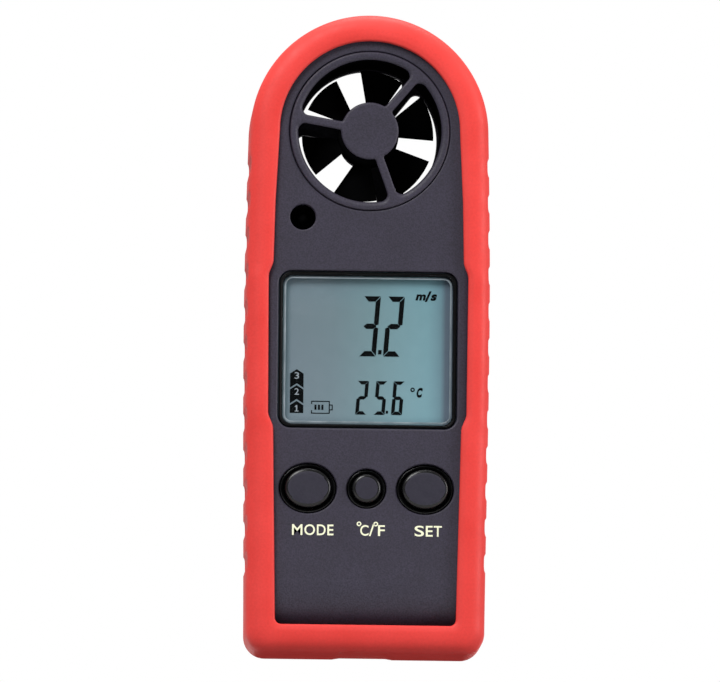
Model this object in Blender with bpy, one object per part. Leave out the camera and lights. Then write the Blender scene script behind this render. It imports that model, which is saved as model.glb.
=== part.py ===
"""A pocket vane anemometer in a rubber boot, standing upright with its display towards -Y.

Every number below is in millimetres and degrees. A solid is drawn in place, in world coordinates,
and becomes an object in metres only when it is finished. The origin is the centre of the boot's
foot, +X is the display's right, +Y the back and +Z the fan end.
"""

from math import asin, cos, degrees, pi, radians, sin, sqrt, tau

import bmesh
import bpy
from mathutils import Matrix, Vector

MM = 0.001
SHARP_ANGLE = radians(32)
GAP = 0.2  # clearance between pieces that touch on the real object

# Rubber boot
BOOT_HALF_WIDTH = 21.3
BOOT_BULGE = 0.5  # how much the waist swells past BOOT_HALF_WIDTH
BOOT_BULGE_SKEW = 1.5
BOOT_ARCH_Z = 93.3
BOOT_HALF_DEPTH = 9.5
BOOT_EDGE_R = 2.2
BOOT_CORNER_R = 3.8
GROOVE_COUNT = 12
GROOVE_LOWEST_Z = 16.45
GROOVE_PITCH = 6.45
GROOVE_DEPTH = 0.55
GROOVE_HALF_TOP = 1.75
GROOVE_HALF_FLOOR = 0.9
FOOT_NOTCH_HALF = 4.65
FOOT_NOTCH_SLANT = 0.4
FOOT_NOTCH_RISE = 0.45

# The opening in the front lip of the boot: a neck round the fan, then wider beside the display
OPENING_FOOT_Z = 5.0
OPENING_ARCH_R = 16.05
OPENING_NECK_HALF = 16.85
OPENING_NECK_Z = 80.6
OPENING_WIDE_HALF = 17.7
OPENING_WIDE_Z = (42.9, 67.2)
OPENING_STEP_RISE = 3.0
OPENING_FOOT_HALF = 16.3
OPENING_CORNER_R = 1.0

# Hard case, split at y = 0 into a front and a rear shell
CASE_HALF_WIDTH = 19.8
CASE_ARCH_Z = 93.3
CASE_FOOT_Z = 2.6
CASE_CORNER_R = 3.0
CASE_FRONT_Y = -8.2
CASE_REAR_Y = 8.0
CASE_WALL = 1.6
CASE_EDGE_R = 1.2
CASE_CHIN_R = 6.5  # the front face rolls back over its lower edge
PARTING_HALF_GAP = 0.05

# Fan
FAN_Z = 93.6
GUARD_SEAT_R = 14.4
GUARD_R = 14.25
GUARD_THICKNESS = 1.6
FRONT_GUARD_Y = -8.5
REAR_GUARD_Y = 8.3
FRONT_WINDOW_R = (5.15, 12.75)
REAR_WINDOW_R = (5.05, 12.55)
FRONT_SPOKE_ANGLES = (50.0, 170.0, 290.0)
REAR_SPOKE_ANGLES = (51.0, 170.0, 285.0)
FRONT_SPOKE_HALF = 0.78
REAR_SPOKE_HALF = 1.0
SPOKE_FILLETS = (0.4, 1.3)  # at the hub and at the ring
BEARING_BOSS_R = 2.7
BEARING_BOSS_END_Y = 3.9
BEARING_R = 1.6
BEARING_BORE_R = 0.66
BEARING_Y = (4.1, 6.1)
DUCT_R = (12.95, 13.8)
DUCT_HALF_DEPTH = 6.7
SHAFT_R = 0.6
SHAFT_HALF_LENGTH = 5.9
WHEEL_Y = 0.8  # the middle of the wheel's depth
HUB_R = 5.4
HUB_HALF_DEPTH = 2.6
BLADE_COUNT = 6
BLADE_FIRST_ANGLE = 78.3
BLADE_HALF_SWEEP = (16.0, 19.3)  # at the root and at the tip
BLADE_HALF_RISE = 2.1
BLADE_HALF_THICKNESS = 0.3
BLADE_TIP_R = 11.8
BLADE_ROOT_R = 4.9
MAGNET_R = (0.85, 3.5)
MAGNET_Y = (1.2, 3.2)

# Temperature sensor
SENSOR_XZ = (-11.8, 78.0)
SENSOR_HOLE_R = 2.3
SENSOR_SLEEVE_R = 3.0
SENSOR_SLEEVE_Y = (-6.3, -3.2)
SENSOR_FLOOR_Y = -3.9
THERMISTOR_R = 0.95
THERMISTOR_Y = -5.4

# Display
DISPLAY_Z = 54.3
DISPLAY_OPENING = (32.0, 28.2)
DISPLAY_OPENING_R = 2.3
DISPLAY_VIEW = (30.3, 26.6)
DISPLAY_VIEW_R = 1.7
LCD_SIZE = (32.8, 29.2)
LCD_FRAME_SIZE = (35.4, 31.6)

# Buttons
BUTTON_Z = 29.4
BUTTON_SPACING = 10.45
OVAL_WELL = (5.15, 4.5)
ROUND_WELL = (3.55, 3.55)
OVAL_CAP = (4.1, 3.5)
ROUND_CAP = (2.55, 2.55)
CAP_TOP_INSET = 0.45
CAP_TOP_Y = -9.2
CAP_STEM_R = 1.2

# Electronics and battery
BOARD_Y = (-2.4, -1.2)
BOARD_HALF_WIDTH = 17.4
BOARD_Z = (11.0, 81.1)
BOARD_ARCH_R = 14.6
BATTERY_Z = 23.0
COIN_R = 10.0
COIN_Y = (1.2, 4.4)
HOLDER_HALF = 12.5
HOLDER_Y = (-0.9, 4.1)
DOOR_HALF_WIDTH = 12.1
DOOR_Z = (9.8, 36.7)
DOOR_Y = (6.6, 8.0)
DOOR_HINGE = (0.0, 7.9, 37.0)

# Screws
CASE_SCREWS = {
    "upper_left": (-11.95, 105.55),
    "upper_right": (11.95, 105.55),
    "lower_left": (-14.8, 7.8),
    "lower_right": (14.8, 7.8),
}
CASE_BOSS_R = 2.0
BOARD_SCREWS = {
    "upper_left": (-15.4, 73.5),
    "upper_right": (15.4, 73.5),
    "lower_left": (-14.8, 15.1),
    "lower_right": (14.8, 15.1),
}
BOARD_POST_R = 1.7

# name: (colour, roughness, metallic)
MATERIALS = {
    "boot_rubber": ((0.78, 0.07, 0.06), 0.55, 0.0),
    "case_plastic": ((0.063, 0.058, 0.078), 0.6, 0.0),
    "black_plastic": ((0.008, 0.008, 0.009), 0.4, 0.0),
    "button_rubber": ((0.045, 0.042, 0.06), 0.55, 0.0),
    "gloss_black": ((0.006, 0.006, 0.007), 0.15, 0.0),
    "clear_window": ((0.9, 0.93, 0.94), 0.05, 0.0),
    "lcd_glass": ((0.2, 0.28, 0.31), 0.2, 0.0),
    "white_diffuser": ((0.85, 0.85, 0.82), 0.5, 0.0),
    "zebra_rubber": ((0.55, 0.35, 0.4), 0.6, 0.0),
    "circuit_board": ((0.02, 0.16, 0.06), 0.4, 0.0),
    "steel": ((0.6, 0.6, 0.62), 0.3, 1.0),
    "brass": ((0.75, 0.55, 0.22), 0.3, 1.0),
    "magnet": ((0.35, 0.35, 0.37), 0.35, 1.0),
}


# ---- outlines, as lists of (x, z) ----


def arc(cx, cz, r, start, end, steps):
    """Points from start to end, in degrees anticlockwise from +X, with both ends included."""
    angles = [radians(start + (end - start) * i / steps) for i in range(steps + 1)]
    return [(cx + r * cos(a), cz + r * sin(a)) for a in angles]


def ellipse(cx, cz, rx, rz, steps=22):
    return [(cx + rx * cos(tau * i / steps), cz + rz * sin(tau * i / steps)) for i in range(steps)]


def circle(cx, cz, r, steps=24):
    return ellipse(cx, cz, r, r, steps)


def rounded_rectangle(cx, cz, width, height, r, steps=4):
    x = width / 2 - r
    z = height / 2 - r
    corners = ((x, z, 0), (-x, z, 90), (-x, -z, 180), (x, -z, 270))
    points = []
    for dx, dz, start in corners:
        points += arc(cx + dx, cz + dz, r, start, start + 90, steps)
    return points


def mirrored(right):
    """A whole outline from its right half, which runs from the bottom centre to the top centre."""
    left = [(-x, z) for x, z in reversed(right) if abs(x) > 1e-6]
    return right + left


def boot_half_width(z):
    share = max(0.0, min(1.0, z / BOOT_ARCH_Z))
    return BOOT_HALF_WIDTH + BOOT_BULGE * sin(pi * share**BOOT_BULGE_SKEW)


def boot_outline(inset, relief):
    """The boot's outer edge drawn in by inset, its grooves and foot notch at a share of their depth."""
    notch = inset + FOOT_NOTCH_RISE * relief
    right = [(0.0, notch), (FOOT_NOTCH_HALF - FOOT_NOTCH_SLANT, notch), (FOOT_NOTCH_HALF, inset)]
    corner_x = BOOT_HALF_WIDTH - BOOT_CORNER_R
    right += arc(corner_x, BOOT_CORNER_R, BOOT_CORNER_R - inset, -90, 0, 5)
    for i in range(GROOVE_COUNT):
        middle = GROOVE_LOWEST_Z + i * GROOVE_PITCH
        floor = GROOVE_DEPTH * relief
        steps = (
            (-GROOVE_HALF_TOP, 0.0),
            (-GROOVE_HALF_FLOOR, floor),
            (GROOVE_HALF_FLOOR, floor),
            (GROOVE_HALF_TOP, 0.0),
        )
        for dz, depth in steps:
            right.append((boot_half_width(middle + dz) - inset - depth, middle + dz))
    right += arc(0, BOOT_ARCH_Z, BOOT_HALF_WIDTH - inset, 0, 90, 14)
    right[-1] = (0.0, right[-1][1])
    return mirrored(right)


def opening_outline():
    """The opening that the boot's lip leaves round the front face."""
    lower, upper = OPENING_WIDE_Z
    corner_z = OPENING_FOOT_Z + OPENING_CORNER_R
    right = [(0.0, OPENING_FOOT_Z)]
    right += arc(OPENING_FOOT_HALF - OPENING_CORNER_R, corner_z, OPENING_CORNER_R, -90, 0, 4)
    right += [
        (OPENING_FOOT_HALF + 0.3, lower - OPENING_STEP_RISE),
        (OPENING_WIDE_HALF, lower),
        (OPENING_WIDE_HALF, upper),
        (OPENING_NECK_HALF, upper + OPENING_STEP_RISE),
        (OPENING_NECK_HALF - 0.2, OPENING_NECK_Z),
    ]
    right += arc(0, FAN_Z, OPENING_ARCH_R, 10, 90, 14)
    right[-1] = (0.0, right[-1][1])
    return mirrored(right)


def case_outline(inset, foot_rise):
    foot = CASE_FOOT_Z + foot_rise
    corner_r = CASE_CORNER_R - inset
    corner_x = CASE_HALF_WIDTH - CASE_CORNER_R
    right = [(0.0, foot + inset)]
    right += arc(corner_x, foot + CASE_CORNER_R, corner_r, -90, 0, 4)
    right += arc(0, CASE_ARCH_Z, CASE_HALF_WIDTH - inset, 0, 90, 14)
    right[-1] = (0.0, right[-1][1])
    return mirrored(right)


def guard_window(radii, half_width, start, end):
    """The opening between the spokes at start and end, in degrees."""
    inner, outer = radii
    hub_fillet, ring_fillet = SPOKE_FILLETS
    ring_centre = asin((half_width + ring_fillet) / (outer - ring_fillet))
    hub_centre = asin((half_width + hub_fillet) / (inner + hub_fillet))
    half = []
    # From the middle of the ring side back to the spoke at angle 0, down it, and along the hub.
    middle = radians(end - start) / 2
    for i in range(6):
        a = middle + (ring_centre - middle) * i / 6
        half.append((outer * cos(a), outer * sin(a)))
    for i in range(5):
        turn = ring_centre + (-pi / 2 - ring_centre) * i / 4
        half.append(
            (
                (outer - ring_fillet) * cos(ring_centre) + ring_fillet * cos(turn),
                (outer - ring_fillet) * sin(ring_centre) + ring_fillet * sin(turn),
            )
        )
    for i in range(4):
        turn = -pi / 2 + (hub_centre - pi / 2) * i / 3
        half.append(
            (
                (inner + hub_fillet) * cos(hub_centre) + hub_fillet * cos(turn),
                (inner + hub_fillet) * sin(hub_centre) + hub_fillet * sin(turn),
            )
        )
    for i in range(1, 4):
        a = hub_centre + (middle - hub_centre) * i / 3
        half.append((inner * cos(a), inner * sin(a)))
    whole = radians(end - start)
    other = [
        (x * cos(whole) + z * sin(whole), x * sin(whole) - z * cos(whole))
        for x, z in reversed(half[1:-1])
    ]
    turn = radians(start)
    return [
        (x * cos(turn) - z * sin(turn), FAN_Z + x * sin(turn) + z * cos(turn))
        for x, z in half + other
    ]


def guard_windows(radii, half_width, angles):
    ends = (*angles[1:], angles[0] + 360)
    return [guard_window(radii, half_width, start, end) for start, end in zip(angles, ends)]


# ---- solids, as bmeshes in millimetres ----


def loft(rings, closed=False):
    """A solid through rings of equally many points: capped at both ends, or closed into a loop."""
    bm = bmesh.new()
    loops = [[bm.verts.new(point) for point in ring] for ring in rings]
    pairs = list(zip(loops, loops[1:]))
    if closed:
        pairs.append((loops[-1], loops[0]))
    else:
        bm.faces.new(loops[0])
        bm.faces.new(loops[-1])
    for a, b in pairs:
        for i in range(len(a)):
            bm.faces.new((a[i - 1], a[i], b[i], b[i - 1]))
    bmesh.ops.recalc_face_normals(bm, faces=bm.faces)
    return bm


def at_depth(outline, y):
    return [(x, y, z) for x, z in outline]


def prism(outline, y0, y1):
    return loft([at_depth(outline, y0), at_depth(outline, y1)])


def plate(outline, holes, y0, y1):
    """A flat plate with holes right through it."""
    bm = bmesh.new()
    fronts = []
    backs = []
    for y, loops in ((y0, fronts), (y1, backs)):
        edges = []
        for points in (outline, *holes):
            loop = [bm.verts.new(point) for point in at_depth(points, y)]
            edges += [bm.edges.new((loop[i - 1], loop[i])) for i in range(len(loop))]
            loops.append(loop)
        bmesh.ops.triangle_fill(bm, edges=edges, use_beauty=True)
    for a, b in zip(fronts, backs):
        for i in range(len(a)):
            bm.faces.new((a[i - 1], a[i], b[i], b[i - 1]))
    bmesh.ops.recalc_face_normals(bm, faces=bm.faces)
    return bm


def box(low, high):
    (x0, y0, z0), (x1, y1, z1) = low, high
    return prism([(x0, z0), (x1, z0), (x1, z1), (x0, z1)], y0, y1)


def turned(profile, x, z, steps=24, hollow=False):
    """A round solid about the line through (x, z) along Y, from its profile of (radius, y)."""
    rings = [at_depth(circle(x, z, r, steps), y) for r, y in profile]
    return loft(rings, closed=hollow)


def tube(inner, outer, y0, y1, x, z, steps=24):
    return turned([(outer, y0), (outer, y1), (inner, y1), (inner, y0)], x, z, steps, hollow=True)


def merged(solids):
    """Several separate solids in one bmesh."""
    bm = bmesh.new()
    for solid in solids:
        mesh = bpy.data.meshes.new("merging")
        solid.to_mesh(mesh)
        solid.free()
        bm.from_mesh(mesh)
        bpy.data.meshes.remove(mesh)
    return bm


# ---- objects ----


def make_materials():
    made = {}
    for name, (colour, roughness, metallic) in MATERIALS.items():
        material = bpy.data.materials.new(name)
        material.use_nodes = True
        shader = material.node_tree.nodes["Principled BSDF"]
        shader.inputs["Base Color"].default_value = (*colour, 1.0)
        shader.inputs["Roughness"].default_value = roughness
        shader.inputs["Metallic"].default_value = metallic
        material.diffuse_color = (*colour, 1.0)
        made[name] = material
    return made


def add_object(name, bm, material, pivot=(0.0, 0.0, 0.0)):
    """The solid as a named object in metres, with its origin at pivot."""
    bm.transform(Matrix.Scale(MM, 4) @ Matrix.Translation(-Vector(pivot)))
    mesh = bpy.data.meshes.new(name)
    bm.to_mesh(mesh)
    bm.free()
    mesh.shade_smooth()
    mesh.set_sharp_from_angle(angle=SHARP_ANGLE)
    mesh.materials.append(materials[material])
    obj = bpy.data.objects.new(name, mesh)
    obj.location = Vector(pivot) * MM
    bpy.context.scene.collection.objects.link(obj)
    return obj


def combine(obj, operation, solids):
    """Join solids to the object, or cut them from it, by a Boolean with a hidden tool."""
    tool = add_object(f"{obj.name}_{operation.lower()}", merged(solids), obj.active_material.name)
    tool.hide_render = True
    tool.display_type = "WIRE"
    modifier = obj.modifiers.new(operation.title(), "BOOLEAN")
    modifier.operation = operation
    modifier.solver = "EXACT"
    modifier.object = tool


def edge_stations(y, direction, radius, steps):
    """(y, inset) pairs round a quarter-circle edge, from the face at y into the side."""
    stations = []
    for i in range(steps + 1):
        turn = pi / 2 * i / steps
        stations.append((y + direction * radius * (1 - cos(turn)), radius * (1 - sin(turn))))
    return stations


def roll_back(depth, radius):
    """How far a quarter-round edge of this radius has drawn in at a depth below its face."""
    if depth >= radius:
        return 0.0
    return radius - sqrt(radius**2 - (radius - depth) ** 2)


# ---- the pieces ----


def make_boot():
    front = edge_stations(-BOOT_HALF_DEPTH, 1, BOOT_EDGE_R, 3)
    back = edge_stations(BOOT_HALF_DEPTH, -1, BOOT_EDGE_R, 3)
    rings = [
        at_depth(boot_outline(inset, 1 - inset / BOOT_EDGE_R), y) for y, inset in front + back[::-1]
    ]
    boot = add_object("protective_boot", loft(rings), "boot_rubber")
    cavity = prism(case_outline(-GAP, 0.0), CASE_FRONT_Y - GAP, CASE_REAR_Y + GAP)
    front_opening = prism(opening_outline(), -BOOT_HALF_DEPTH - 1, -1.0)
    rear_opening = prism(opening_outline(), 1.0, BOOT_HALF_DEPTH + 1)
    combine(boot, "DIFFERENCE", [cavity])
    combine(boot, "DIFFERENCE", [front_opening, rear_opening])


def case_shell(face_y, direction, inset, chin_r, depths, end_y):
    """The outside (inset 0) or the inside of one half of the case, from its face to end_y."""
    rings = []
    edge_r = max(CASE_EDGE_R - inset, 0.3)
    for depth in depths:
        outline = case_outline(inset + roll_back(depth, edge_r), roll_back(depth, chin_r))
        rings.append(at_depth(outline, face_y + direction * depth))
    rings.append(at_depth(case_outline(inset, 0.0), end_y))
    return loft(rings)


def make_front_case():
    outside = case_shell(
        CASE_FRONT_Y, 1, 0.0, CASE_CHIN_R, (0.0, 0.15, 0.5, 1.2, 2.2, 3.6, 5.0, 6.5), -PARTING_HALF_GAP
    )
    inside = case_shell(
        CASE_FRONT_Y + CASE_WALL, 1, CASE_WALL, CASE_CHIN_R - CASE_WALL, (0.0, 0.4, 1.4, 3.0, 4.9), 1.0
    )
    case = add_object("front_case", outside, "case_plastic")
    combine(case, "DIFFERENCE", [inside])
    wall_inside = CASE_FRONT_Y + 1.0
    posts = []
    for x, z in CASE_SCREWS.values():
        posts.append(prism(circle(x, z, CASE_BOSS_R, 16), wall_inside + 0.4, -0.3))
    for x, z in BOARD_SCREWS.values():
        posts.append(prism(circle(x, z, BOARD_POST_R, 16), wall_inside, BOARD_Y[0] - GAP))
    combine(case, "UNION", posts)
    outside_y = CASE_FRONT_Y - 1
    past_wall = CASE_FRONT_Y + CASE_WALL + 0.3
    cuts = [
        prism(circle(0, FAN_Z, GUARD_SEAT_R, 48), outside_y, past_wall),
        prism(
            rounded_rectangle(0, DISPLAY_Z, *DISPLAY_OPENING, DISPLAY_OPENING_R), outside_y, past_wall
        ),
        prism(ellipse(-BUTTON_SPACING, BUTTON_Z, *OVAL_WELL), outside_y, past_wall),
        prism(ellipse(0, BUTTON_Z, *ROUND_WELL), outside_y, past_wall),
        prism(ellipse(BUTTON_SPACING, BUTTON_Z, *OVAL_WELL), outside_y, past_wall),
        prism(circle(*SENSOR_XZ, SENSOR_HOLE_R), outside_y, past_wall),
    ]
    cuts += [prism(circle(x, z, 0.95, 12), -5.6, 0.5) for x, z in CASE_SCREWS.values()]
    cuts += [prism(circle(x, z, 0.8, 12), -5.6, 0.5) for x, z in BOARD_SCREWS.values()]
    combine(case, "DIFFERENCE", cuts)


def make_rear_case():
    outside = case_shell(CASE_REAR_Y, -1, 0.0, CASE_EDGE_R, (0.0, 0.15, 0.5, 1.2), PARTING_HALF_GAP)
    inside = case_shell(CASE_REAR_Y - CASE_WALL, -1, CASE_WALL, 0.3, (0.0, 0.3), -1.0)
    case = add_object("rear_case", outside, "case_plastic")
    combine(case, "DIFFERENCE", [inside])
    boss_r = CASE_BOSS_R + 0.3
    bosses = [
        prism(circle(x, z, boss_r, 16), 0.3, CASE_REAR_Y - 0.6) for x, z in CASE_SCREWS.values()
    ]
    combine(case, "UNION", bosses)
    outside_y = CASE_REAR_Y + 1
    past_wall = CASE_REAR_Y - CASE_WALL - 0.3
    door_height = DOOR_Z[1] - DOOR_Z[0] + 0.6
    door_middle = (DOOR_Z[0] + DOOR_Z[1]) / 2
    cuts = [
        prism(circle(0, FAN_Z, GUARD_SEAT_R, 48), past_wall, outside_y),
        prism(
            rounded_rectangle(0, door_middle, 2 * DOOR_HALF_WIDTH + 0.6, door_height, 1.2),
            past_wall,
            outside_y,
        ),
    ]
    for x, z in CASE_SCREWS.values():
        cuts.append(turned([(1.0, -0.5), (1.0, 6.7), (1.7, 6.7), (1.7, outside_y)], x, z, 16))
    combine(case, "DIFFERENCE", cuts)


def make_guard(name, face_y, windows, side):
    """A spoked guard: side is -1 at the front and 1 at the back. Its boss holds a bearing."""
    inner_y = face_y - side * GUARD_THICKNESS
    disc = plate(circle(0, FAN_Z, GUARD_R, 48), windows, face_y, inner_y)
    guard = add_object(name, disc, "case_plastic")
    boss_end = side * BEARING_BOSS_END_Y
    boss = turned([(BEARING_BOSS_R, inner_y + side * 0.5), (BEARING_BOSS_R, boss_end)], 0, FAN_Z)
    combine(guard, "UNION", [boss])
    bore_r = BEARING_R + 0.15
    bore = turned([(bore_r, side * (BEARING_Y[1] + GAP)), (bore_r, boss_end - side)], 0, FAN_Z)
    combine(guard, "DIFFERENCE", [bore])


def make_bearing(name, side):
    near, far = (side * y for y in BEARING_Y)
    add_object(name, tube(BEARING_BORE_R, BEARING_R, near, far, 0, FAN_Z, 16), "brass")


def blade(middle):
    """One blade: a helical sheet that widens from root to tip, its anticlockwise edge in front."""
    shares = [-1 + 2 * i / 3 for i in range(4)]
    rings = []
    for i in range(4):
        r = BLADE_ROOT_R + (BLADE_TIP_R - BLADE_ROOT_R) * i / 3
        root_sweep, tip_sweep = BLADE_HALF_SWEEP
        half_sweep = root_sweep + (tip_sweep - root_sweep) * i / 3
        ring = []
        for side, row in ((-1, shares), (1, shares[::-1])):
            for share in row:
                a = radians(middle + half_sweep * share)
                y = WHEEL_Y - BLADE_HALF_RISE * share + side * BLADE_HALF_THICKNESS
                ring.append((r * cos(a), y, FAN_Z + r * sin(a)))
        rings.append(ring)
    return loft(rings)


def make_impeller():
    centre = (0.0, 0.0, FAN_Z)
    front = WHEEL_Y - HUB_HALF_DEPTH
    back = WHEEL_Y + HUB_HALF_DEPTH
    hub = turned([(HUB_R - 0.6, front), (HUB_R, front + 0.6), (HUB_R, back)], 0, FAN_Z, 28)
    impeller = add_object("impeller", hub, "black_plastic", centre)
    step = 360 / BLADE_COUNT
    blades = [blade(BLADE_FIRST_ANGLE + step * i) for i in range(BLADE_COUNT)]
    combine(impeller, "UNION", blades)
    bore = turned(
        [
            (SHAFT_R + 0.15, front - 1),
            (SHAFT_R + 0.15, MAGNET_Y[0] - GAP),
            (MAGNET_R[1] + GAP, MAGNET_Y[0] - GAP),
            (MAGNET_R[1] + GAP, back + 1),
        ],
        0,
        FAN_Z,
        24,
    )
    combine(impeller, "DIFFERENCE", [bore])
    end = SHAFT_HALF_LENGTH
    tapered = SHAFT_R - 0.3
    profile = [(tapered, -end), (SHAFT_R, -end + 0.4), (SHAFT_R, end - 0.4), (tapered, end)]
    add_object("impeller_shaft", turned(profile, 0, FAN_Z, 16), "steel", centre)
    add_object("rotor_magnet", tube(*MAGNET_R, *MAGNET_Y, 0, FAN_Z, 24), "magnet", centre)


def make_fan():
    front_windows = guard_windows(FRONT_WINDOW_R, FRONT_SPOKE_HALF, FRONT_SPOKE_ANGLES)
    make_guard("front_guard", FRONT_GUARD_Y, front_windows, -1)
    rear_windows = guard_windows(REAR_WINDOW_R, REAR_SPOKE_HALF, REAR_SPOKE_ANGLES)
    make_guard("rear_guard", REAR_GUARD_Y, rear_windows, 1)
    duct = tube(*DUCT_R, -DUCT_HALF_DEPTH, DUCT_HALF_DEPTH, 0, FAN_Z, 48)
    add_object("fan_duct", duct, "black_plastic")
    make_bearing("front_bearing", -1)
    make_bearing("rear_bearing", 1)
    make_impeller()


def make_temperature_sensor():
    x, z = SENSOR_XZ
    front, back = SENSOR_SLEEVE_Y
    sleeve = turned([(SENSOR_SLEEVE_R, front), (SENSOR_SLEEVE_R, back)], x, z)
    sleeve = add_object("sensor_sleeve", sleeve, "black_plastic")
    hollow = turned([(SENSOR_HOLE_R, front - 1), (SENSOR_HOLE_R, SENSOR_FLOOR_Y)], x, z)
    combine(sleeve, "DIFFERENCE", [hollow])
    profile = []
    for i in range(1, 6):
        turn = pi * i / 6
        profile.append((THERMISTOR_R * sin(turn), THERMISTOR_Y - THERMISTOR_R * cos(turn)))
    thermistor = add_object("thermistor", turned(profile, x, z, 14), "black_plastic")
    leg_y = (THERMISTOR_Y + 0.3, SENSOR_FLOOR_Y - 0.15)
    combine(thermistor, "UNION", [prism(circle(x + dx, z, 0.2, 8), *leg_y) for dx in (-0.45, 0.45)])


def make_display():
    width, height = DISPLAY_VIEW
    hole_width, hole_height = DISPLAY_OPENING
    outer_r = DISPLAY_OPENING_R - GAP
    outer = rounded_rectangle(0, DISPLAY_Z, hole_width - 2 * GAP, hole_height - 2 * GAP, outer_r)
    view = rounded_rectangle(0, DISPLAY_Z, width, height, DISPLAY_VIEW_R)
    add_object("window_gasket", plate(outer, [view], CASE_FRONT_Y + 0.25, -6.45), "gloss_black")
    lens = rounded_rectangle(0, DISPLAY_Z, width - 0.3, height - 0.3, DISPLAY_VIEW_R - 0.15)
    add_object("lcd_window", prism(lens, -7.3, -6.5), "clear_window")
    lcd = rounded_rectangle(0, DISPLAY_Z, *LCD_SIZE, 0.3, 1)
    add_object("lcd_panel", prism(lcd, -6.2, -4.9), "lcd_glass")
    frame = rounded_rectangle(0, DISPLAY_Z, *LCD_FRAME_SIZE, 0.6, 2)
    pocket = rounded_rectangle(0, DISPLAY_Z, LCD_SIZE[0] + 0.4, LCD_SIZE[1] + 0.4, 0.4, 1)
    add_object("lcd_frame", plate(frame, [pocket], -6.3, BOARD_Y[0] - 0.3), "black_plastic")
    low = DISPLAY_Z - LCD_SIZE[1] / 2
    high = DISPLAY_Z + LCD_SIZE[1] / 2
    half = LCD_SIZE[0] / 2
    add_object("backlight_panel", box((-half, -4.6, low + 3.0), (half, -3.4, high)), "white_diffuser")
    add_object("zebra_connector", box((-14.0, -4.6, low + 0.3), (14.0, -2.7, low + 2.6)), "zebra_rubber")


def make_button(name, x, cap):
    """A key cap, its collar-borne flange and stem, and the snap dome that it presses."""
    rx, rz = cap
    stations = (
        (-3.6, CAP_STEM_R, CAP_STEM_R),
        (-4.4, CAP_STEM_R, CAP_STEM_R),
        (-4.4, rx + 0.5, rz + 0.5),
        (-5.1, rx + 0.5, rz + 0.5),
        (-5.1, rx, rz),
        (CAP_TOP_Y + 0.8, rx, rz),
        (CAP_TOP_Y + 0.2, rx - CAP_TOP_INSET * 0.6, rz - CAP_TOP_INSET * 0.6),
        (CAP_TOP_Y + 0.05, rx - CAP_TOP_INSET * 1.6, rz - CAP_TOP_INSET * 1.6),
        (CAP_TOP_Y, rx * 0.45, rz * 0.45),
    )
    rings = [at_depth(ellipse(x, BUTTON_Z, a, b), y) for y, a, b in stations]
    add_object(f"{name}_button", loft(rings), "button_rubber", (x, CAP_TOP_Y, BUTTON_Z))
    dome = turned([(0.5, -2.95), (1.4, -2.85), (2.2, BOARD_Y[0] - 0.1)], x, BUTTON_Z, 16)
    add_object(f"{name}_dome", dome, "steel")


def make_keypad():
    keys = (
        ("mode", -BUTTON_SPACING, OVAL_CAP, OVAL_WELL),
        ("unit", 0.0, ROUND_CAP, ROUND_WELL),
        ("set", BUTTON_SPACING, OVAL_CAP, OVAL_WELL),
    )
    holes = []
    collars = []
    for name, x, cap, well in keys:
        make_button(name, x, cap)
        hole = ellipse(x, BUTTON_Z, cap[0] + GAP, cap[1] + GAP)
        rim = ellipse(x, BUTTON_Z, well[0] - GAP, well[1] - GAP)
        holes.append(hole)
        collars.append(plate(rim, [hole], CASE_FRONT_Y + 0.5, -5.9))
    outline = rounded_rectangle(0, BUTTON_Z, 34.0, 12.0, 1.0)
    mat = add_object("keypad_mat", plate(outline, holes, -6.3, -5.5), "gloss_black")
    combine(mat, "UNION", collars)


def make_board():
    low, high = BOARD_Z
    half = BOARD_HALF_WIDTH
    arch_angle = degrees(asin((FAN_Z - high) / BOARD_ARCH_R))
    outline = [(-half, low), (half, low), (half, high)]
    outline += arc(0, FAN_Z, BOARD_ARCH_R, -arch_angle, arch_angle - 180, 10)
    outline.append((-half, high))
    holes = [circle(x, z, 1.0, 12) for x, z in BOARD_SCREWS.values()]
    add_object("main_board", plate(outline, holes, *BOARD_Y), "circuit_board")
    behind = BOARD_Y[1] + GAP
    add_object("controller_chip", box((-4.5, behind, 50.6), (4.5, behind + 1.4, 59.6)), "black_plastic")
    add_object("speed_sensor", box((-2.0, behind, 74.1), (2.0, behind + 1.5, 77.2)), "black_plastic")
    rings = [[(x, y + behind + 1.0, z) for y, z in circle(0, 45.1, 1.0, 12)] for x in (-3.0, 3.0)]
    add_object("clock_crystal", loft(rings), "steel")


def make_battery():
    low_y, high_y = HOLDER_Y
    square = rounded_rectangle(0, BATTERY_Z, 2 * HOLDER_HALF, 2 * HOLDER_HALF, 1.5)
    holder = add_object("battery_holder", prism(square, low_y, high_y), "black_plastic")
    combine(holder, "DIFFERENCE", [prism(circle(0, BATTERY_Z, COIN_R + 0.4, 28), 0.3, high_y + 1)])
    cell = turned(
        [
            (COIN_R - 1.0, COIN_Y[0]),
            (COIN_R - 0.8, COIN_Y[0] + 0.5),
            (COIN_R, COIN_Y[0] + 0.7),
            (COIN_R, COIN_Y[1] - 0.3),
            (COIN_R - 0.3, COIN_Y[1]),
        ],
        0,
        BATTERY_Z,
        28,
    )
    add_object("coin_cell", cell, "steel")
    add_object("negative_contact", prism(circle(0, BATTERY_Z, 4.0, 16), 0.6, 0.9), "steel")
    top = BATTERY_Z + HOLDER_HALF + 0.3
    outer = top + 0.3
    arm = [(4.7, top - 9), (5.0, top - 9), (5.0, outer), (-0.6, outer), (-0.6, top), (4.7, top)]
    rings = [[(x, y, z) for y, z in arm] for x in (-2.0, 2.0)]
    add_object("positive_contact", loft(rings), "steel")


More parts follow.
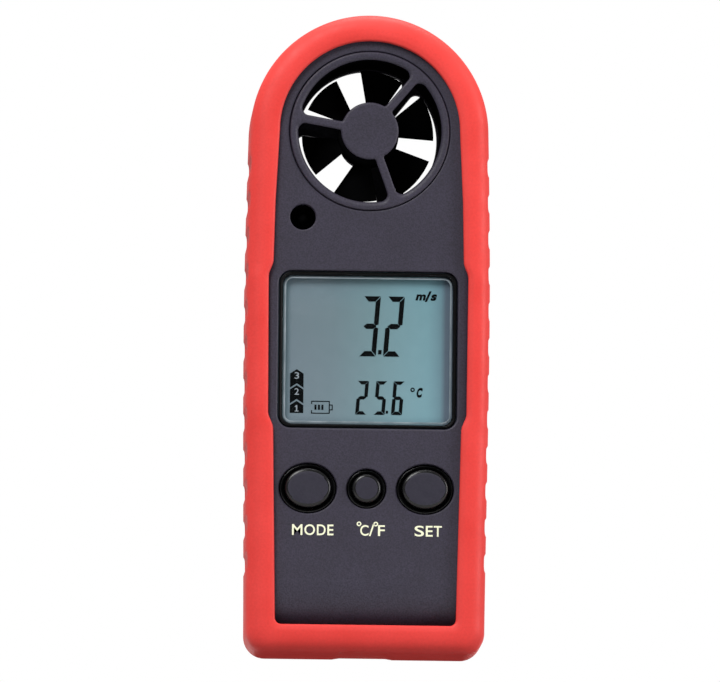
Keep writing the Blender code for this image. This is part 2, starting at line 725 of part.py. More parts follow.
def make_battery_door():
    low, high = DOOR_Z
    outline = rounded_rectangle(0, (low + high) / 2, 2 * DOOR_HALF_WIDTH, high - low, 1.0)
    door = add_object("battery_door", prism(outline, *DOOR_Y), "case_plastic", DOOR_HINGE)
    into_plate = DOOR_Y[0] + 0.5
    tongue = box((-3.0, 4.8, low + 0.3), (3.0, into_plate, low + 1.2))
    necks = [box((x - 1.5, 5.4, high - 2.5), (x + 1.5, into_plate, high - 0.8)) for x in (-8, 8)]
    hooks = [box((x - 1.5, 5.4, high - 1.5), (x + 1.5, 6.1, high + 1.6)) for x in (-8, 8)]
    # A hook overlaps its neck, so it is a union of its own.
    combine(door, "UNION", [tongue, *necks])
    combine(door, "UNION", hooks)
    thumb_dent = prism(ellipse(0, low + 6.0, 5.0, 2.6), DOOR_Y[1] - 0.5, DOOR_Y[1] + 1)
    combine(door, "DIFFERENCE", [thumb_dent])


def make_screws():
    profile = [(0.4, -5.2), (0.8, -4.8), (0.8, 6.9), (1.5, 6.9), (1.5, 7.5), (1.0, 7.85)]
    for place, (x, z) in CASE_SCREWS.items():
        add_object(f"case_screw_{place}", turned(profile, x, z, 10), "steel")
    under = BOARD_Y[1] + GAP
    profile = [(0.3, -5.2), (0.65, -4.9), (0.65, under)]
    profile += [(1.3, under), (1.3, under + 0.5), (0.9, under + 0.8)]
    for place, (x, z) in BOARD_SCREWS.items():
        add_object(f"board_screw_{place}", turned(profile, x, z, 8), "steel")


for old in list(bpy.data.objects):
    bpy.data.objects.remove(old)
materials = make_materials()
make_boot()
make_front_case()
make_rear_case()
make_fan()
make_temperature_sensor()
make_display()
make_keypad()
make_board()
make_battery()
make_battery_door()
make_screws()
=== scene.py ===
"""The looks of a pocket vane anemometer in a red rubber boot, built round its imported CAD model.

Every number in the geometry below is in millimetres or degrees, in the model's own frame: +X is the
display's right, -Y is towards the display and +Z the fan end. The places and sizes of the pieces come
from the CAD nodes' boxes. A piece becomes an object in metres only when it is finished.
"""

from math import asin, cos, pi, radians, sin, sqrt, tau

import bmesh
import bpy
from mathutils import Matrix, Vector


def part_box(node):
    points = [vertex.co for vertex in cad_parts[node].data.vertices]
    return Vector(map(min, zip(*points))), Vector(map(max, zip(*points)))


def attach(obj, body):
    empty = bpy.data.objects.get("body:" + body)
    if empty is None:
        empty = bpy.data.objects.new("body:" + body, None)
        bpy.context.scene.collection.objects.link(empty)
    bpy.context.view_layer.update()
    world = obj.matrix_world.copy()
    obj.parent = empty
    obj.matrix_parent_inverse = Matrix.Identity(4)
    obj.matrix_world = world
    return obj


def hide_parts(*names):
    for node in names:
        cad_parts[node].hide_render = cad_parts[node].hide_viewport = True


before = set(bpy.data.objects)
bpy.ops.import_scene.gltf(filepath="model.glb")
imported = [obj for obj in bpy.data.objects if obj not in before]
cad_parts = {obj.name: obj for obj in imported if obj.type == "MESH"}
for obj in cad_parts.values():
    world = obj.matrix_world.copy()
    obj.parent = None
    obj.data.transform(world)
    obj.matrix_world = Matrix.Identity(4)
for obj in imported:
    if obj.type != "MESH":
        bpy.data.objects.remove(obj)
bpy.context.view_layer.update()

MM = 0.001
HOLD = 0.04  # width of the flat strip beside a rounded edge that keeps a face's shading flat
SHARP_ANGLE = radians(40)


class Place:
    """Where a CAD node is, in millimetres."""

    def __init__(self, node):
        low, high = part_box(node)
        self.x0, self.y0, self.z0 = low / MM
        self.x1, self.y1, self.z1 = high / MM
        self.x, self.y, self.z = (low + high) / (2 * MM)
        self.width, self.depth, self.height = (high - low) / MM


BOOT = Place("protective_boot")
FRONT_CASE = Place("front_case")
REAR_CASE = Place("rear_case")
FRONT_GUARD = Place("front_guard")
REAR_GUARD = Place("rear_guard")
DUCT = Place("fan_duct")
WHEEL = Place("impeller")
SLEEVE = Place("sensor_sleeve")
BEAD = Place("thermistor")
GASKET = Place("window_gasket")
WINDOW = Place("lcd_window")
LCD = Place("lcd_panel")
MAT = Place("keypad_mat")
KEYS = {name: Place(f"{name}_button") for name in ("mode", "unit", "set")}
DOOR = Place("battery_door")
HOLDER = Place("battery_holder")
CELL = Place("coin_cell")
CORNERS = [f"{row}_{side}" for row in ("upper", "lower") for side in ("left", "right")]
CASE_SCREWS = {corner: Place(f"case_screw_{corner}") for corner in CORNERS}
BOARD_SCREWS = {corner: Place(f"board_screw_{corner}") for corner in CORNERS}

# Boot
BOOT_SIDE = 21.3  # half width at the foot and at the arch
BOOT_BULGE = BOOT.x1 - BOOT_SIDE
BOOT_BULGE_SKEW = 1.5
BOOT_ARCH_Z = BOOT.z1 - BOOT_SIDE
BOOT_CORNER_R = 3.8
LIP_CREST = 0.3  # where the lip stands highest, as a share of the way from its opening to its edge
LIP_FALL = 3.4  # how far the lip's face falls from its crest to the side of the boot
LIP_SHAPE = 2.5  # exponent of that curve: 2 is an ellipse
LIP_EDGE_R = 0.5
LIP_BACK_Y = FRONT_CASE.y0 - 0.2
GROOVES = 12
GROOVE_LOWEST_Z = 16.45
GROOVE_PITCH = 6.45
GROOVE_DEPTH = 0.55
GROOVE_HALF_TOP = 1.75
GROOVE_HALF_FLOOR = 0.45
NOTCH_HALF = 4.65
NOTCH_RISE = 0.45

# The opening in each face of the boot, narrow round the fan and the keys and wider at the display
OPENING_FOOT_Z = 5.0
OPENING_CORNER_R = 1.1
OPENING_WIDTHS = (  # (height, half width)
    (5.6, 16.1), (39.9, 16.76), (42.9, 17.68), (67.2, 17.82), (70.2, 16.98), (80.6, 16.75), (93.6, 16.1)
)

# Case
CASE_HALF = FRONT_CASE.x1
CASE_ARCH_Z = FRONT_CASE.z1 - CASE_HALF
CASE_FOOT_Z = FRONT_CASE.z0
CASE_CORNER_R = 3.0
CASE_WALL = 1.6
FRONT_EDGE_R = 2.8
CHIN_R = 8.0  # the front face rolls back over its foot
CHIN_STRETCH = 1.25  # in a tall ellipse
REAR_EDGE_R = 0.8
FACE_Y = FRONT_CASE.y0

# Fan
FAN_X = FRONT_GUARD.x
FAN_Z = FRONT_GUARD.z
GUARD_R = FRONT_GUARD.width / 2
LEDGE_R = GUARD_R - 0.25  # the guard's rim rests on a ledge behind it
GUARD_PLATE = 1.6
FRONT_WINDOW_R = (5.15, 12.75)
REAR_WINDOW_R = (5.05, 12.55)
FRONT_SPOKE_ANGLES = (50.0, 170.0, 290.0)
REAR_SPOKE_ANGLES = (51.5, 170.0, 286.0)
FRONT_SPOKE_HALF = 0.78
REAR_SPOKE_HALF = 1.12
SPOKE_FILLETS = (0.4, 1.3)
DUCT_BORE_R = 12.95

# Wheel
BLADES = 6
BLADE_ROOT_R = 4.9
BLADE_TIP_R = 11.8
BLADE_MIDDLE_Y = 0.8
BLADE_HALF_RISE = 2.1
BLADE_HALF_THICKNESS = 0.3
BLADE_REAR_EDGE = (55.7, 0.62)  # angle, and how far the edge's line passes the axis
BLADE_FRONT_EDGE = (99.9, -0.46)

# Display and keys
SURROUND_R = 2.1
WINDOW_R = 1.55
VIEW = (30.3, 26.6, 1.7)  # the part of the display that shows: width, height and corners
CAP_HALVES = {"mode": (4.1, 3.5), "unit": (2.55, 2.55), "set": (4.1, 3.5)}
WELL_HALVES = {"mode": (5.15, 4.5), "unit": (3.55, 3.55), "set": (5.15, 4.5)}


# ---- outlines: lists of (x, z), and shapes: functions that give an outline grown all round ----


def between(values, start, end):
    """Linear interpolation from start to end at each share in values."""
    return [start + (end - start) * v for v in values]


def spread(start, end, steps):
    """Evenly spaced values from start to end, with both included."""
    return [start + (end - start) * i / steps for i in range(steps + 1)]


def quarter(steps):
    """(inset, depth) shares from a face round a quarter circle into the side."""
    return [(1 - sin(a), 1 - cos(a)) for a in spread(0, pi / 2, steps)]


def arc(cx, cz, r, start, end, steps):
    """Points from start to end, in degrees anticlockwise from +X, with both ends included."""
    angles = [radians(a) for a in spread(start, end, steps)]
    return [(cx + r * cos(a), cz + r * sin(a)) for a in angles]


def ellipse(cx, cz, rx, rz, steps=72):
    turns = spread(0, tau, steps)[:-1]
    return lambda grow=0.0: [(cx + (rx + grow) * cos(a), cz + (rz + grow) * sin(a)) for a in turns]


def circle(cx, cz, r, steps=96):
    return ellipse(cx, cz, r, r, steps)


def rounded_rectangle(cx, cz, width, height, r, steps=10):
    x = width / 2 - r
    z = height / 2 - r

    def outline(grow=0.0):
        points = []
        for dx, dz, start in ((x, z, 0), (-x, z, 90), (-x, -z, 180), (x, -z, 270)):
            points += arc(cx + dx, cz + dz, r + grow, start, start + 90, steps)
        return points

    return outline


def round_node(place, r, extra=0.0):
    """A rounded rectangle as large as a node, or larger by extra."""
    return rounded_rectangle(place.x, place.z, place.width + extra, place.height + extra, r)


def bar(x0, x1, z0, z1):
    return [(x0, z0), (x1, z0), (x1, z1), (x0, z1)]


def cross(arm, half):
    """A plus sign's outline."""
    right = [(half, -arm), (half, -half), (arm, -half), (arm, half), (half, half), (half, arm)]
    return right + [(-x, -z) for x, z in right]


def arched(foot, corner, side, arch):
    """An outline symmetric about X = 0, from its right half: the points of its foot, its corner as
    (x, z, r, steps), the points of its side, and its arch as (z, r, steps)."""
    right = foot + arc(*corner[:3], -90, 0, corner[3])[:-1] + side
    z, r, steps = arch
    right += arc(0, z, r, 0, 90, steps)[:-1] + [(0.0, z + r)]
    return right + [(-x, z) for x, z in reversed(right) if abs(x) > 1e-6]


def smooth(share):
    share = max(0.0, min(1.0, share))
    return share * share * (3 - 2 * share)


def roll_back(depth, radius):
    """How far a quarter-round edge of this radius has drawn in at a depth below its face."""
    if depth >= radius:
        return 0.0
    return radius - sqrt(radius**2 - (radius - depth) ** 2)


# ---- the boot's three outlines, point for point alike ----

FOOT_STEPS = 26
CORNER_STEPS = 12
ARCH_STEPS = 60


def side_heights():
    """Heights along the boot's side, closest together at the grooves."""
    heights = spread(BOOT_CORNER_R, GROOVE_LOWEST_Z - GROOVE_HALF_TOP, 26)[:-1]
    land = GROOVE_PITCH - 2 * GROOVE_HALF_TOP
    for i in range(GROOVES):
        middle = GROOVE_LOWEST_Z + i * GROOVE_PITCH
        heights += spread(middle - GROOVE_HALF_TOP, middle + GROOVE_HALF_TOP, 14)
        if i < GROOVES - 1:
            heights += [middle + GROOVE_HALF_TOP + land * step for step in (0.08, 0.3, 0.5, 0.7, 0.92)]
    return heights + between([0.3, 0.7], heights[-1], BOOT_ARCH_Z)


SIDE_HEIGHTS = side_heights()


def groove_depth(z):
    """Depth of the finger grooves at a height: a crisp edge at each land and a smooth floor."""
    nearest = round((z - GROOVE_LOWEST_Z) / GROOVE_PITCH)
    nearest = max(0, min(GROOVES - 1, nearest))
    away = abs(z - GROOVE_LOWEST_Z - nearest * GROOVE_PITCH)
    if away >= GROOVE_HALF_TOP:
        return 0.0
    ramp = max(0.0, (away - GROOVE_HALF_FLOOR) / (GROOVE_HALF_TOP - GROOVE_HALF_FLOOR))
    return GROOVE_DEPTH * (1 - ramp**1.7)


def boot_outline(relief):
    """The boot's outer edge, with its grooves and notch at a share of their depth."""
    corner_x = BOOT_SIDE - BOOT_CORNER_R
    foot = []
    for x in spread(0, corner_x, FOOT_STEPS)[:-1]:
        foot.append((x, relief * NOTCH_RISE * (1 - smooth((x - NOTCH_HALF + 0.35) / 0.7))))
    side = []
    for z in SIDE_HEIGHTS:
        share = max(0.0, min(1.0, z / BOOT_ARCH_Z))
        bulge = BOOT_BULGE * sin(pi * share**BOOT_BULGE_SKEW)
        side.append((BOOT_SIDE + bulge - relief * groove_depth(z), z))
    corner = (corner_x, BOOT_CORNER_R, BOOT_CORNER_R, CORNER_STEPS)
    return arched(foot, corner, side, (BOOT_ARCH_Z, BOOT_SIDE, ARCH_STEPS))


def opening_half_width(z):
    for (z0, w0), (z1, w1) in zip(OPENING_WIDTHS, OPENING_WIDTHS[1:]):
        if z <= z1:
            share = (z - z0) / (z1 - z0)
            return w0 + (w1 - w0) * (smooth(share) if z1 - z0 < 5 else max(0.0, share))
    return OPENING_WIDTHS[-1][1]


def hollow(foot_z, corner_r, half_width, foot_half, arch_z, arch_r):
    """The shape of a hollow in the boot. half_width gives half its width at a height."""
    corner_x = foot_half - corner_r
    corner_z = foot_z + corner_r
    low = SIDE_HEIGHTS[0]
    shares = [(z - low) / (BOOT_ARCH_Z - low) for z in SIDE_HEIGHTS]
    heights = between(shares, corner_z, arch_z)

    def outline(grow):
        foot = [(x, foot_z - grow) for x in spread(0, corner_x, FOOT_STEPS)[:-1]]
        side = [(half_width(z) + grow, z) for z in heights]
        corner = (corner_x, corner_z, corner_r + grow, CORNER_STEPS)
        return arched(foot, corner, side, (arch_z, arch_r + grow, ARCH_STEPS))

    return outline


opening = hollow(
    OPENING_FOOT_Z, OPENING_CORNER_R, opening_half_width, OPENING_WIDTHS[0][1], *OPENING_WIDTHS[-1]
)
cavity = hollow(CASE_FOOT_Z, CASE_CORNER_R, lambda z: CASE_HALF, CASE_HALF, CASE_ARCH_Z, CASE_HALF)


def case_outline(inset, foot_rise):
    """The case's outline drawn in by inset, its foot raised by foot_rise instead."""
    r = CASE_CORNER_R - inset
    corner_x = CASE_HALF - CASE_CORNER_R
    foot_z = CASE_FOOT_Z + foot_rise
    half = CASE_HALF - inset
    foot = [(x, foot_z) for x in spread(0, corner_x, 12)[:-1]]
    side = [(half, z) for z in spread(foot_z + r, CASE_ARCH_Z, 24)[:-1]]
    return arched(foot, (corner_x, foot_z + r, r, 8), side, (CASE_ARCH_Z, half, 48))


def guard_window(radii, half_width, start, end, ring, spoke):
    """The opening between the spokes at start and end, in degrees, grown by ring at its outer side
    and by spoke at its other sides."""
    inner = radii[0] - spoke
    outer = radii[1] + ring
    half = half_width - spoke
    hub_fillet = SPOKE_FILLETS[0] + spoke
    ring_fillet = SPOKE_FILLETS[1] + spoke
    ring_centre = asin((half + ring_fillet) / (outer - ring_fillet))
    hub_centre = asin((half + hub_fillet) / (inner + hub_fillet))
    middle = radians(end - start) / 2
    points = [(outer * cos(a), outer * sin(a)) for a in spread(middle, ring_centre, 16)[:-1]]
    for reach, at, fillet, first, last, steps in (
        (outer - ring_fillet, ring_centre, ring_fillet, ring_centre, -pi / 2, 8),
        (inner + hub_fillet, hub_centre, hub_fillet, -pi / 2, hub_centre - pi, 6),
    ):
        for a in spread(first, last, steps):
            points.append((reach * cos(at) + fillet * cos(a), reach * sin(at) + fillet * sin(a)))
    points += [(inner * cos(a), inner * sin(a)) for a in spread(hub_centre, middle, 8)[1:]]
    # The other half mirrors this one about the middle of the window.
    c, s = cos(2 * middle), sin(2 * middle)
    points += [(x * c + z * s, x * s - z * c) for x, z in points[-2:0:-1]]
    c, s = cos(radians(start)), sin(radians(start))
    return [(FAN_X + x * c - z * s, FAN_Z + x * s + z * c) for x, z in points]


# ---- solids, as bmeshes in millimetres ----


def at_depth(outline, y):
    return [(x, y, z) for x, z in outline]


def layers(shape, y, pairs):
    """Rings of a shape from (grow, depth beyond y) pairs."""
    return [at_depth(shape(grow), y + depth) for grow, depth in pairs]


def turned_rings(profile, x, z, steps=96):
    """Rings about the line through (x, z) along Y, from a profile of (radius, y)."""
    return [at_depth(circle(x, z, r, steps)(), y) for r, y in profile]


def fan_rings(profile, steps=144):
    return turned_rings(profile, FAN_X, FAN_Z, steps)


def scaled(outline, x, z, steps):
    """Rings of an outline about (x, z), from (scale, y) pairs."""
    return [at_depth([(x + px * size, z + pz * size) for px, pz in outline], y) for size, y in steps]


def wall(shape, outward, front_y, back_y, front_r=0.0, back_r=0.0):
    """Rings of a side from the front face to the back face, with both edges rounded. outward is 1 for
    the outside of a solid and -1 for a hole."""
    front, back = (
        [(r + HOLD, 0.0)] + [(r * inset, r * depth) for inset, depth in quarter(5)] if r else [(0.0, 0.0)]
        for r in (front_r, back_r)
    )
    rings = layers(shape, front_y, [(-outward * inset, depth) for inset, depth in front])
    return rings + layers(shape, back_y, [(-outward * inset, -depth) for inset, depth in back[::-1]])


def strip(bm, a, b):
    """Quads between two loops of equally many vertices."""
    for i in range(len(a)):
        bm.faces.new((a[i - 1], a[i], b[i], b[i - 1]))


def chain(bm, rings):
    """Quads through rings of equally many points. The vertex loops are returned."""
    loops = [[bm.verts.new(point) for point in ring] for ring in rings]
    for a, b in zip(loops, loops[1:]):
        strip(bm, a, b)
    return loops


def cap(bm, loops):
    """Fill the flat area between an outer loop and any loops inside it."""
    if len(loops) == 1:
        bm.faces.new(loops[0])
        return
    edges = [bm.edges.get((loop[i - 1], loop[i])) for loop in loops for i in range(len(loop))]
    bmesh.ops.triangle_fill(bm, edges=edges, use_beauty=True)


def solid(outside, through=(), front=(), back=()):
    """A closed solid. outside, and each chain of rings in through, runs from its front face to its
    back face. Each chain in front or back starts on that face and is closed at its end."""
    bm = bmesh.new()
    outer = chain(bm, outside)
    holes, fronts, backs = ([chain(bm, rings) for rings in chains] for chains in (through, front, back))
    cap(bm, [outer[0]] + [loops[0] for loops in holes + fronts])
    cap(bm, [outer[-1]] + [loops[-1] for loops in holes] + [loops[0] for loops in backs])
    for loops in fronts + backs:
        bm.faces.new(loops[-1])
    bmesh.ops.recalc_face_normals(bm, faces=bm.faces)
    return bm


def looped(rings):
    """A closed solid whose last ring joins its first, such as a tube or a frame."""
    bm = bmesh.new()
    loops = chain(bm, rings)
    strip(bm, loops[-1], loops[0])
    bmesh.ops.recalc_face_normals(bm, faces=bm.faces)
    return bm


def slab(outline, front_y, back_y):
    return solid([at_depth(outline, front_y), at_depth(outline, back_y)])


def merged(solids):
    """Several separate solids in one bmesh."""
    bm = bmesh.new()
    for item in solids:
        mesh = bpy.data.meshes.new("merging")
        item.to_mesh(mesh)
        item.free()
        bm.from_mesh(mesh)
        bpy.data.meshes.remove(mesh)
    return bm


def flipped(bm):
    """The same solid facing the other way along Y."""
    bm.transform(Matrix.Diagonal((1, -1, 1, 1)))
    bmesh.ops.recalc_face_normals(bm, faces=bm.faces)
    return bm


# ---- objects ----


def linked(name, data):
    obj = bpy.data.objects.new(name, data)
    bpy.context.scene.collection.objects.link(obj)
    return obj


def new_object(name, bm):
    """An object in metres from a bmesh in millimetres, which is used up."""
    bm.transform(Matrix.Scale(MM, 4))
    mesh = bpy.data.meshes.new(name)
    bm.to_mesh(mesh)
    bm.free()
    return linked(name, mesh)


def evaluated_mesh(obj):
    graph = bpy.context.evaluated_depsgraph_get()
    return bpy.data.meshes.new_from_object(obj.evaluated_get(graph))


def shade_mesh(mesh, sharp=SHARP_ANGLE):
    mesh.shade_smooth()
    mesh.set_sharp_from_angle(angle=sharp)


def add_piece(name, bm, material, *nodes, body="body", sharp=SHARP_ANGLE):
    """The solid as an object that rides on a body and stands for the CAD nodes named."""
    obj = new_object(name, bm)
    shade_mesh(obj.data, sharp)
    materials = material if isinstance(material, list) else [material]
    for item in materials:
        obj.data.materials.append(item)
    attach(obj, body)
    if nodes:
        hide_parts(*nodes)
    return obj


def use_second_look(obj, test):
    """The faces that pass a test get the object's second material."""
    for face in obj.data.polygons:
        if test(face):
            face.material_index = 1


def union(obj, solids):
    """Join solids to an object's mesh by a Boolean, and keep only the result."""
    tool = new_object("tool", merged(solids))
    modifier = obj.modifiers.new("Union", "BOOLEAN")
    modifier.operation = "UNION"
    modifier.solver = "EXACT"
    modifier.object = tool
    result = evaluated_mesh(obj)
    obj.modifiers.clear()
    used_up = [obj.data, tool.data]
    obj.data = result
    result.name = used_up[0].name
    bpy.data.objects.remove(tool)
    for mesh in used_up:
        bpy.data.meshes.remove(mesh)
    shade_mesh(result)


# ---- materials; a colour is (red, green, blue) ----

WHITE = (1.0, 1.0, 1.0)


def linear(*channels):
    """A display colour, 0 to 255 a channel, as the linear colour that shaders take."""
    shares = [value / 255 for value in channels]
    return tuple(s / 12.92 if s <= 0.04045 else ((s + 0.055) / 1.055) ** 2.4 for s in shares)


def shade(colour, factor):
    return tuple(channel * factor for channel in colour)


class Graph:
    """The node tree of a material or a world."""

    def __init__(self, owner):
        owner.use_nodes = True
        self.nodes = owner.node_tree.nodes
        self.links = owner.node_tree.links

    def connect(self, value, socket):
        """Give a socket a constant or another node's output."""
        if isinstance(value, bpy.types.NodeSocket):
            self.links.new(value, socket)
        else:
            socket.default_value = value

    def add(self, kind, inputs):
        """A node of a kind, with a constant or an output for each input named."""
        node = self.nodes.new("ShaderNode" + kind)
        for name, value in inputs.items():
            self.connect(value, node.inputs[name])
        return node

    def ranged(self, value, low, high, to_low=0.0, to_high=1.0, curve="LINEAR"):
        inputs = {"Value": value, "From Min": low, "From Max": high, "To Min": to_low, "To Max": to_high}
        node = self.add("MapRange", inputs)
        node.interpolation_type = curve
        return node.outputs["Result"]

    def mixed_shader(self, factor, first, second):
        return self.add("MixShader", {"Fac": factor, 1: first, 2: second}).outputs["Shader"]


class Paint(Graph):
    """A Principled material put together from procedural nodes in the object's own space."""

    def __init__(self, name, colour, roughness, specular=0.5, metallic=0.0):
        self.material = bpy.data.materials.new(name)
        super().__init__(self.material)
        self.shader = self.nodes["Principled BSDF"]
        self.set("Base Color", (*colour, 1.0))
        self.set("Roughness", roughness)
        self.set("Metallic", metallic)
        self.set("Specular IOR Level", specular)
        self.coords = self.nodes.new("ShaderNodeTexCoord").outputs["Object"]

    def set(self, socket, value):
        self.shader.inputs[socket].default_value = value

    def stretched(self, x, y, z):
        """The object's coordinates, scaled along each axis."""
        return self.add("Mapping", {"Vector": self.coords, "Scale": (x, y, z)}).outputs["Vector"]

    def across(self, axis, middle, width):
        """The share of the way along an axis through a width about its middle, in millimetres."""
        split = self.add("SeparateXYZ", {"Vector": self.coords})
        low, high = (middle - width / 2) * MM, (middle + width / 2) * MM
        return self.ranged(split.outputs[axis], low, high)

    def noise(self, size, detail=3.0, vector=None):
        """Noise with features of about this many millimetres."""
        inputs = {"Scale": 1 / (size * MM), "Detail": detail, "Vector": vector or self.coords}
        return self.add("TexNoise", inputs).outputs["Fac"]

    def ramp(self, value, stops):
        """A colour from a value and (position, colour) stops."""
        node = self.add("ValToRGB", {"Fac": value})
        elements = node.color_ramp.elements
        while len(elements) < len(stops):
            elements.new(0.5)
        for element, (position, colour) in zip(elements, stops):
            element.position = position
            element.color = (*colour, 1.0)
        return node.outputs["Color"]

    def shades(self, noise, base, dark, light):
        """The base colour, from dark to light times as bright."""
        return self.ramp(noise, [(0.3, shade(base, dark)), (0.7, shade(base, light))])

    def multiplied(self, first, second):
        node = self.nodes.new("ShaderNodeMix")
        node.data_type = "RGBA"
        node.blend_type = "MULTIPLY"
        node.inputs[0].default_value = 1.0
        self.links.new(first, node.inputs[6])
        self.links.new(second, node.inputs[7])
        return node.outputs[2]

    def colour(self, output):
        self.links.new(output, self.shader.inputs["Base Color"])

    def rough(self, noise, low, high, start=0.3):
        self.links.new(self.ranged(noise, start, 0.7, low, high), self.shader.inputs["Roughness"])

    def bumped(self, *reliefs):
        """The finished material, with bump from (height, depth in mm) pairs added up."""
        inputs = {"Strength": 1.0}
        for height, depth in reliefs:
            inputs |= {"Height": height, "Distance": depth * MM}
            inputs["Normal"] = self.add("Bump", inputs).outputs["Normal"]
        self.links.new(inputs["Normal"], self.shader.inputs["Normal"])
        return self.material


def boot_rubber():
    """Silicone rubber: slightly mottled red with a fine, soft grain."""
    paint = Paint("boot_rubber_red", (0.79, 0.052, 0.044), 0.5, 0.25)
    speck = paint.noise(0.45, 2.0)
    mottle = paint.ramp(paint.noise(9.0, 2.0), [(0.3, (0.76, 0.048, 0.040)), (0.7, (0.82, 0.058, 0.050))])
    paint.colour(paint.multiplied(mottle, paint.shades(speck, WHITE, 0.93, 1.0)))
    paint.rough(paint.noise(2.5), 0.44, 0.58)
    return paint.bumped((speck, 0.02), (paint.noise(0.12, 2.0), 0.006))


def case_plastic():
    """ABS with a spark-eroded texture: a fine pebbled surface with tiny light and dark specks."""
    base = (0.034, 0.029, 0.050)
    paint = Paint("case_plastic_grey", base, 0.5, 0.42)
    pebble = paint.noise(0.28, 2.0)
    broad = paint.shades(paint.noise(7.0, 2.0), base, 0.92, 1.08)
    paint.colour(paint.multiplied(broad, paint.shades(pebble, WHITE, 0.5, 1.08)))
    paint.rough(pebble, 0.60, 0.48)
    return paint.bumped((pebble, 0.025), (paint.noise(0.098, 2.0), 0.008))


def plain_plastic(name, base, roughness, specular=0.5):
    """Smooth moulded plastic with faint flow marks and fine dust-like variation."""
    paint = Paint(name, base, roughness, specular)
    flow = paint.noise(3.0, 3.0, paint.stretched(1.0, 1.0, 0.4))
    paint.colour(paint.shades(flow, base, 0.85, 1.15))
    paint.rough(paint.noise(0.8), roughness * 0.85, roughness * 1.15)
    return paint.bumped((flow, 0.006), (paint.noise(0.2, 2.0), 0.003))


def key_rubber():
    """Silicone keys: smooth, dark and faintly bluish."""
    base = (0.023, 0.021, 0.034)
    paint = Paint("key_rubber", base, 0.5, 0.32)
    speck = paint.noise(0.3, 2.0)
    paint.colour(paint.shades(speck, base, 0.88, 1.1))
    paint.rough(paint.noise(1.2), 0.46, 0.58)
    return paint.bumped((speck, 0.006))


def brushed_metal(name, base, roughness):
    """Metal with fine turning or rolling lines."""
    paint = Paint(name, base, roughness, metallic=1.0)
    lines = paint.noise(0.15, 2.0, paint.stretched(0.08, 1.0, 1.0))
    paint.colour(paint.shades(paint.noise(2.0), base, 0.9, 1.05))
    paint.rough(lines, roughness * 0.75, roughness * 1.35)
    return paint.bumped((lines, 0.002))


def clear_lens():
    """Acrylic, faintly scratched, which lets nearly all of the display through."""
    paint = Paint("clear_lens", (0.02, 0.025, 0.028), 0.06, 0.3)
    paint.set("Alpha", 0.03)
    paint.rough(paint.noise(4.0, 4.0), 0.03, 0.10, 0.35)
    return paint.material


def lens_edge_painted_highlight():
    """The window's chamfer: a painted highlight along the lens's edge, pale and half see-through."""
    paint = Paint("lens_edge_painted_highlight", linear(178, 190, 200), 0.2)
    stops = [(0.35, linear(150, 164, 172)), (0.7, linear(190, 202, 210))]
    paint.colour(paint.ramp(paint.noise(3.0, 2.0), stops))
    paint.set("Alpha", 0.75)
    return paint.material


def display_cell():
    """The liquid crystal's grey-green field: warmer and darker at its left and lower edges, brighter at
    its right, and with painted shade where the case's edge stands over it."""
    paint = Paint("display_cell", linear(112, 131, 138), 0.35, 0.25)
    columns = [
        (0.0, linear(110, 134, 143)), (0.05, linear(121, 138, 147)), (0.30, linear(121, 142, 150)),
        (0.55, linear(124, 155, 162)), (0.86, linear(131, 173, 183)), (0.935, linear(127, 164, 176)),
        (0.965, linear(104, 120, 134)), (1.0, linear(98, 113, 128)),
    ]
    rows = [
        (0.0, (0.82, 0.80, 0.82)), (0.06, (1.0, 0.98, 0.99)), (0.28, (0.97, 0.95, 0.96)),
        (0.75, (0.88, 0.88, 0.88)), (0.96, (0.84, 0.87, 0.89)), (1.0, (0.70, 0.74, 0.76)),
    ]
    across = paint.ramp(paint.across("X", LCD.x, WINDOW.width), columns)
    up = paint.ramp(paint.across("Z", LCD.z, WINDOW.height), rows)
    patch = paint.ramp(paint.noise(2.2), [(0.3, (0.95, 0.96, 0.96)), (0.7, WHITE)])
    paint.colour(paint.multiplied(paint.multiplied(across, up), patch))
    paint.rough(paint.noise(0.5), 0.30, 0.42)
    return paint.material


def flat_ink(name, colour, roughness, specular, patchy=0.08):
    """Ink or dye: one colour with a slightly uneven density."""
    paint = Paint(name, colour, roughness, specular)
    paint.colour(paint.shades(paint.noise(0.25, 2.0), colour, 1 - patchy, 1.0))
    return paint.bumped((paint.noise(0.1, 2.0), 0.002))


def solder_mask():
    """Green board with copper tracks showing through and a fine weave."""
    green = (0.012, 0.12, 0.045)
    paint = Paint("circuit_board_green", green, 0.3)
    inputs = {"Scale": 1 / (2.6 * MM), "Vector": paint.stretched(1.0, 0.0, 1.0)}
    cells = paint.add("TexVoronoi", inputs)
    cells.feature = "DISTANCE_TO_EDGE"
    tracks = cells.outputs["Distance"]
    stops = [(0.03, (0.02, 0.2, 0.07)), (0.06, green), (0.9, (0.009, 0.10, 0.038))]
    paint.colour(paint.ramp(tracks, stops))
    paint.rough(paint.noise(0.6), 0.25, 0.4)
    return paint.bumped((tracks, 0.02), (paint.noise(0.2, 2.0), 0.004))


def zebra_stripes():
    """Layers of black conducting and pale insulating silicone."""
    paint = Paint("zebra_stripes", (0.6, 0.4, 0.45), 0.6)
    wave = paint.add("TexWave", {"Scale": 1 / (0.8 * MM), "Vector": paint.coords})
    stops = [(0.45, (0.02, 0.02, 0.02)), (0.55, (0.62, 0.42, 0.46))]
    paint.colour(paint.ramp(wave.outputs["Fac"], stops))
    return paint.material


